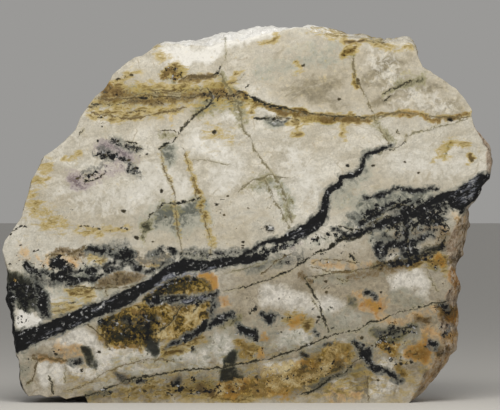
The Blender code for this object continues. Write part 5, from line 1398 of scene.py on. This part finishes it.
def clouded_by_ore(tree, colour, seen, fields):
    """The quartz greyed by fine ore around the torn web and beside the clean veins."""
    near = node(tree, "MapRange", {0: fields["web"], 1: -1.1, 2: 0.2, 4: 0.9})
    colour = stain(tree, colour, near, seen["mottle"], 0.8, "#6E706A", "#1C1E20")
    near = node(tree, "MapRange", {0: fields["vein"], 1: -1.1, 2: 0.1, 4: 0.7})
    return stain(tree, colour, near, seen["mottle"], 0.8, "#8A8A80", "#3A3C3A")


def ore_cover(tree, seen, fields):
    """Where solid ore shows, from 0 to 1: the largest of four covers.

    They are the clean veins, whose edge is moved by up to 0.35 mm, the torn web, whose grains close
    up with the depth inside it, the scattered grains, and the dark bark low on the left side.
    """
    share = node(tree, "MapRange", {0: fields["web"], 1: -0.8, 2: 0.6, 4: 0.84})
    web = specks(tree, seen["grainy"], share)
    grains = specks(tree, seen["grainy"], fields["black"])
    edge = node(tree, "Math", {0: seen["grainy"], 1: 0.7, 2: -0.35}, operation="MULTIPLY_ADD")
    inside = node(tree, "Math", {0: fields["vein"], 1: edge}, operation="ADD")
    vein = node(tree, "MapRange", {0: inside, 1: -0.12, 2: 0.10})
    bark = node(tree, "Math", {0: fields["bark"], 1: seen["mottle"]}, operation="ADD")
    bark = node(tree, "MapRange", {0: bark, 1: 1.05, 2: 1.25})
    dark = node(tree, "Math", {0: vein, 1: grains}, operation="MAXIMUM")
    dark = node(tree, "Math", {0: dark, 1: web}, operation="MAXIMUM")
    return node(tree, "Math", {0: dark, 1: bark}, operation="MAXIMUM")


def cracked(tree, colour, seen):
    """The colour with every crack in it, and the cover of the cracks' lines.

    Chlorite and iron stain the rock beside a crack, and fill it as a broken line. Its darkness
    runs from green through brown to black. The line wanders by up to 0.4 mm.
    """
    wobble = node(tree, "Math", {0: seen["mottle"], 1: 0.55, 2: -0.28}, operation="MULTIPLY_ADD")
    tremble = node(tree, "Math", {0: seen["speckle"], 1: 0.3, 2: -0.15}, operation="MULTIPLY_ADD")
    wobble = node(tree, "Math", {0: wobble, 1: tremble}, operation="ADD")
    lines = 0.0
    for number in range(CRACK_SHEETS):
        line, halo, darkness = hairline(tree, f"crack_{number + 1}", seen, wobble)
        colour = stain(tree, colour, halo, seen["mottle"], 0.3, "#A59C7C", "#6A6244")
        filling = node(tree, "ValToRGB", {0: darkness})
        tones = filling.node.color_ramp.elements
        tones[0].color = linear("#6A7056")
        tones[1].color = linear("#121410")
        for place, tone in ((0.5, "#5E4A26"), (0.72, "#2E2A1A")):
            tones.new(place).color = linear(tone)
        strong = node(tree, "MapRange", {0: darkness, 1: 0.1, 2: 0.9, 3: 0.65, 4: 1.0})
        line = node(tree, "Math", {0: line, 1: strong}, operation="MULTIPLY")
        colour = node(tree, "Mix", {0: line, 6: colour, 7: filling}, 2, data_type="RGBA")
        lines = node(tree, "Math", {0: lines, 1: line}, operation="MAXIMUM")
    return colour, lines


def flecked(tree, colour, seen, fields):
    """The colour with its flecks: ellipses whose rim is moved by the grains, from brown to black."""
    radius = node(tree, "CombineXYZ", {0: fields["along"], 1: fields["across"]})
    radius = node(tree, "VectorMath", {0: radius}, 1, operation="LENGTH")
    radius = node(tree, "Math", {0: seen["grainy"], 1: 1.6, 2: radius}, operation="MULTIPLY_ADD")
    fleck = node(tree, "MapRange", {0: radius, 1: 2.1, 2: 1.5})
    return layer(tree, colour, fleck, fields["dark"], "#7C6A40", "#181814")


def sulphides(tree, colour, dark, seen, fields, look):
    """The ore laid over the rock, and how polished it is.

    It is blue-black, its tone varied by a painted sheen, with steel-grey streaks drawn out along the
    vein that are partly the ore's own grey and partly painted sheen, painted glints on a few crystal
    faces, and bright threads that are partly the ore's own and partly painted glints.
    """
    # The sheen pattern varies the ore's tone as a painted sheen.
    tone = node(tree, "Mix", {0: seen["sheen"], 6: look.ore, 7: linear("#0E0F13")}, 2, data_type="RGBA")
    colour = node(tree, "Mix", {0: dark, 6: colour, 7: tone}, 2, data_type="RGBA")
    # Steel-grey streaks: the ore's own grey, made brighter as a painted sheen.
    polish_and_sheen = node(tree, "Math", {0: fields["steel_and_sheen"], 1: seen["sheen"]}, operation="ADD")
    polish_and_sheen = node(tree, "MapRange", {0: polish_and_sheen, 1: 1.0, 2: 1.5})
    colour = layer(tree, colour, polish_and_sheen, seen["speckle"], "#4E525E", "#9A9CA2")
    # Painted glints: a few crystal faces of the ore made bright in the colour, as if catching the light.
    painted_glint = node(tree, "MapRange", {0: seen["facet"], 1: 0.86, 2: 0.97})
    bright = node(tree, "MapRange", {0: seen["speckle"], 1: 0.45, 2: 0.75})
    painted_glint = node(tree, "Math", {0: painted_glint, 1: bright}, operation="MULTIPLY")
    painted_glint = node(tree, "Math", {0: painted_glint, 1: dark}, operation="MULTIPLY")
    colour = layer(tree, colour, painted_glint, seen["crystal"], "#6E7074", "#C4C5C4")
    # Bright threads and grains, partly the ore's own and partly painted glints.
    threads_and_glints = node(tree, "Math", {0: fields["threads_and_glints"], 1: seen["grainy"]}, operation="ADD")
    threads_and_glints = node(tree, "MapRange", {0: threads_and_glints, 1: 1.02, 2: 1.3})
    return layer(tree, colour, threads_and_glints, seen["facet"], "#8A8B8C", "#D8D8D4"), polish_and_sheen


def relief(tree, dark, lines, seen, fields):
    """Relief in millimetres: crumbly on the broken sides, and nearly smooth on the sawn one.

    The broken sides stand up by 0.42 mm with the mottle, all of it by 0.018 mm with the speckle,
    and ore and cracks lie 0.06 mm low.
    """
    coarse = node(tree, "Math", {0: seen["mottle"], 1: fields["rough"]}, operation="MULTIPLY")
    coarse = node(tree, "Math", {0: coarse, 1: 0.42}, operation="MULTIPLY")
    height = node(tree, "Math", {0: seen["speckle"], 1: 0.018, 2: coarse}, operation="MULTIPLY_ADD")
    low = node(tree, "Math", {0: dark, 1: lines}, operation="MAXIMUM")
    height = node(tree, "Math", {0: low, 1: -0.06, 2: height}, operation="MULTIPLY_ADD")
    return node(tree, "Bump", {"Height": height, "Distance": MM, "Strength": 0.8})


def vein_ore_material(look):
    """Vein quartz with silver-bearing sulphides: sawn and rubbed on one side, broken elsewhere.

    Milky quartz gives a cloudy cream ground with a low sheen. Sulphides give grainy blue-black
    veins with a few painted glints. Limonite gives ochre and gold stains, chlorite olive ones, and
    feldspar peach ones. Broken sides are duller and rougher than the sawn one.
    """
    material = bpy.data.materials.new("silver_ore_vein_quartz")
    material.use_nodes = True
    tree = material.node_tree
    shader = tree.nodes["Principled BSDF"]
    place = node(tree, "TexCoord", {}, 3)
    mm = node(tree, "VectorMath", {0: place, "Scale": 1.0 / MM}, operation="SCALE")
    seen = patterns(tree, mm)
    fields = stone_fields(tree)
    colour = stained_quartz(tree, mm, seen, fields, look)
    colour = altered_ground(tree, colour, seen, fields)
    colour = dappled(tree, colour, seen, fields, look)
    colour = weathered_sides(tree, colour, seen, fields)
    colour = clouded_by_ore(tree, colour, seen, fields)
    colour, lines = cracked(tree, colour, seen)
    colour = flecked(tree, colour, seen, fields)
    dark = ore_cover(tree, seen, fields)
    colour, polish_and_sheen = sulphides(tree, colour, dark, seen, fields, look)
    tree.links.new(colour, shader.inputs["Base Color"])
    roughness = node(tree, "MapRange", {0: seen["speckle"], 3: 0.38, 4: 0.56})
    roughness = node(tree, "Math", {0: fields["rough"], 1: 0.22, 2: roughness}, operation="MULTIPLY_ADD")
    tree.links.new(roughness, shader.inputs["Roughness"])
    metallic = node(tree, "Math", {0: polish_and_sheen, 1: 0.5}, operation="MULTIPLY")
    tree.links.new(metallic, shader.inputs["Metallic"])
    tree.links.new(relief(tree, dark, lines, seen, fields), shader.inputs["Normal"])
    shader.inputs["IOR"].default_value = 1.54
    shader.inputs["Specular IOR Level"].default_value = 0.2
    return material


def area_light(name, place, target, size, power, colour):
    """A square studio light at a place, turned to a target."""
    lamp = bpy.data.lights.new(name, "AREA")
    lamp.energy = power
    lamp.size = size
    lamp.color = linear(colour)[:3]
    light = bpy.data.objects.new(name, lamp)
    light.location = place
    way = Vector(target) - Vector(place)
    light.rotation_euler = way.to_track_quat("-Z", "Y").to_euler()
    bpy.context.scene.collection.objects.link(light)


def stage_camera(stage):
    """A level camera in front of the sawn face, shifted to frame the stone from the floor up."""
    lens = bpy.data.cameras.new("camera")
    lens.sensor_width = SENSOR_WIDTH
    lens.lens = SENSOR_WIDTH * stage.distance / VIEW_WIDTH
    lens.shift_y = (VIEW_MIDDLE[1] - stage.height) / VIEW_WIDTH
    lens.clip_start = 0.01
    camera = bpy.data.objects.new("camera", lens)
    camera.location = (VIEW_MIDDLE[0], FACE_Y * MM - stage.distance, stage.height)
    camera.rotation_euler = (np.pi / 2, 0.0, 0.0)
    bpy.context.scene.collection.objects.link(camera)
    bpy.context.scene.camera = camera


def stage_floor(stage):
    """A large flat floor under the stone."""
    half = FLOOR_HALF_WIDTH
    corners = [(-half, -half, 0.0), (half, -half, 0.0), (half, half, 0.0), (-half, half, 0.0)]
    mesh = bpy.data.meshes.new("floor")
    mesh.from_pydata(corners, [], [(0, 1, 2, 3)])
    # Matt paint on a studio table: even, with no texture that the eye could find.
    material = bpy.data.materials.new("matt_floor_paint")
    material.use_nodes = True
    shader = material.node_tree.nodes["Principled BSDF"]
    shader.inputs["Base Color"].default_value = stage.floor
    shader.inputs["Roughness"].default_value = 0.8
    mesh.materials.append(material)
    floor = bpy.data.objects.new("floor", mesh)
    bpy.context.scene.collection.objects.link(floor)


# What every colour property shares: red, green, blue and cover, in linear light.
COLOUR = {"size": 4, "min": 0.0, "max": 1.0, "subtype": "COLOR"}


class StoneLook(bpy.types.PropertyGroup):
    """What a user may change on the stone"""

    quartz: bpy.props.FloatVectorProperty(
        name="Quartz", description="Ground colour of the milky quartz",
        default=linear("#CBC7BB"), **COLOUR)
    ore: bpy.props.FloatVectorProperty(
        name="Ore", description="Darkest colour of the sulphides",
        default=linear("#060708"), **COLOUR)
    shade: bpy.props.FloatVectorProperty(
        name="Lower rock", description="What the rock under the main vein is dimmed by",
        default=linear("#B2A795"), **COLOUR)
    smooth_below: bpy.props.FloatProperty(
        name="Smooth below", description="Edges flatter than this angle are shaded smooth",
        default=0.7, subtype="ANGLE")


class StageLook(bpy.types.PropertyGroup):
    """What a user may change on the stage"""

    distance: bpy.props.FloatProperty(
        name="Camera distance", description="From the camera to the sawn face", default=0.9,
        subtype="DISTANCE", unit="LENGTH")
    height: bpy.props.FloatProperty(
        name="Camera height", description="Height of the camera above the floor", default=0.055,
        subtype="DISTANCE", unit="LENGTH")
    floor: bpy.props.FloatVectorProperty(
        name="Floor", description="Colour of the floor",
        default=linear("#CFCDC9"), **COLOUR)
    air: bpy.props.FloatVectorProperty(
        name="Surroundings", description="Colour of the light from all around",
        default=linear("#9A9997"), **COLOUR)
    key_power: bpy.props.FloatProperty(
        name="Key light", description="Power of the light above and in front", default=0.72,
        subtype="POWER", unit="POWER")


class ORE_OT_stone(bpy.types.Operator):
    """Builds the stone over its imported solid"""

    bl_idname = "object.silver_ore_stone"
    bl_label = "Stone"

    def execute(self, context):
        look = context.scene.silver_ore_stone
        stone = bpy.data.objects.new("silver_ore_stone", stone_mesh())
        context.scene.collection.objects.link(stone)
        stone.data.polygons.foreach_set("use_smooth", np.ones(len(stone.data.polygons), dtype=bool))
        stone.data.set_sharp_from_angle(angle=look.smooth_below)
        stone.data.materials.append(vein_ore_material(look))
        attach(stone, "root")
        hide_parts(NODE)
        return {"FINISHED"}


class ORE_OT_stage(bpy.types.Operator):
    """Sets up the floor, the lights and the camera"""

    bl_idname = "object.silver_ore_stage"
    bl_label = "Stage"

    def execute(self, context):
        stage = context.scene.silver_ore_stage
        stage_camera(stage)
        stage_floor(stage)
        area_light("key_light", KEY_PLACE, KEY_TARGET, KEY_WIDTH, stage.key_power, "#FFFCF6")
        world = bpy.data.worlds.new("studio")
        world.use_nodes = True
        world.node_tree.nodes["Background"].inputs["Color"].default_value = stage.air
        context.scene.world = world
        context.scene.view_settings.view_transform = "Standard"
        return {"FINISHED"}


class ORE_PT_panel(bpy.types.Panel):
    """Lists the stone and the stage, each with what a user may change"""

    bl_idname = "ORE_PT_panel"
    bl_label = "Silver ore"
    bl_space_type = "VIEW_3D"
    bl_region_type = "UI"
    bl_category = "Silver ore"

    def draw(self, context):
        scene = context.scene
        for operator, group in ((ORE_OT_stone, scene.silver_ore_stone),
                                (ORE_OT_stage, scene.silver_ore_stage)):
            box = self.layout.box()
            box.operator(operator.bl_idname)
            for name in group.bl_rna.properties.keys():
                if name not in {"rna_type", "name"}:
                    box.prop(group, name)


CLASSES = (StoneLook, StageLook, ORE_OT_stone, ORE_OT_stage, ORE_PT_panel)


def register():
    for kind in CLASSES:
        bpy.utils.register_class(kind)
    bpy.types.Scene.silver_ore_stone = bpy.props.PointerProperty(type=StoneLook)
    bpy.types.Scene.silver_ore_stage = bpy.props.PointerProperty(type=StageLook)


def unregister():
    del bpy.types.Scene.silver_ore_stage
    del bpy.types.Scene.silver_ore_stone
    for kind in reversed(CLASSES):
        bpy.utils.unregister_class(kind)


def main():
    """Builds the stone and the stage."""
    register()
    bpy.ops.object.silver_ore_stone()
    bpy.ops.object.silver_ore_stage()


if __name__ == "__main__":
    main()
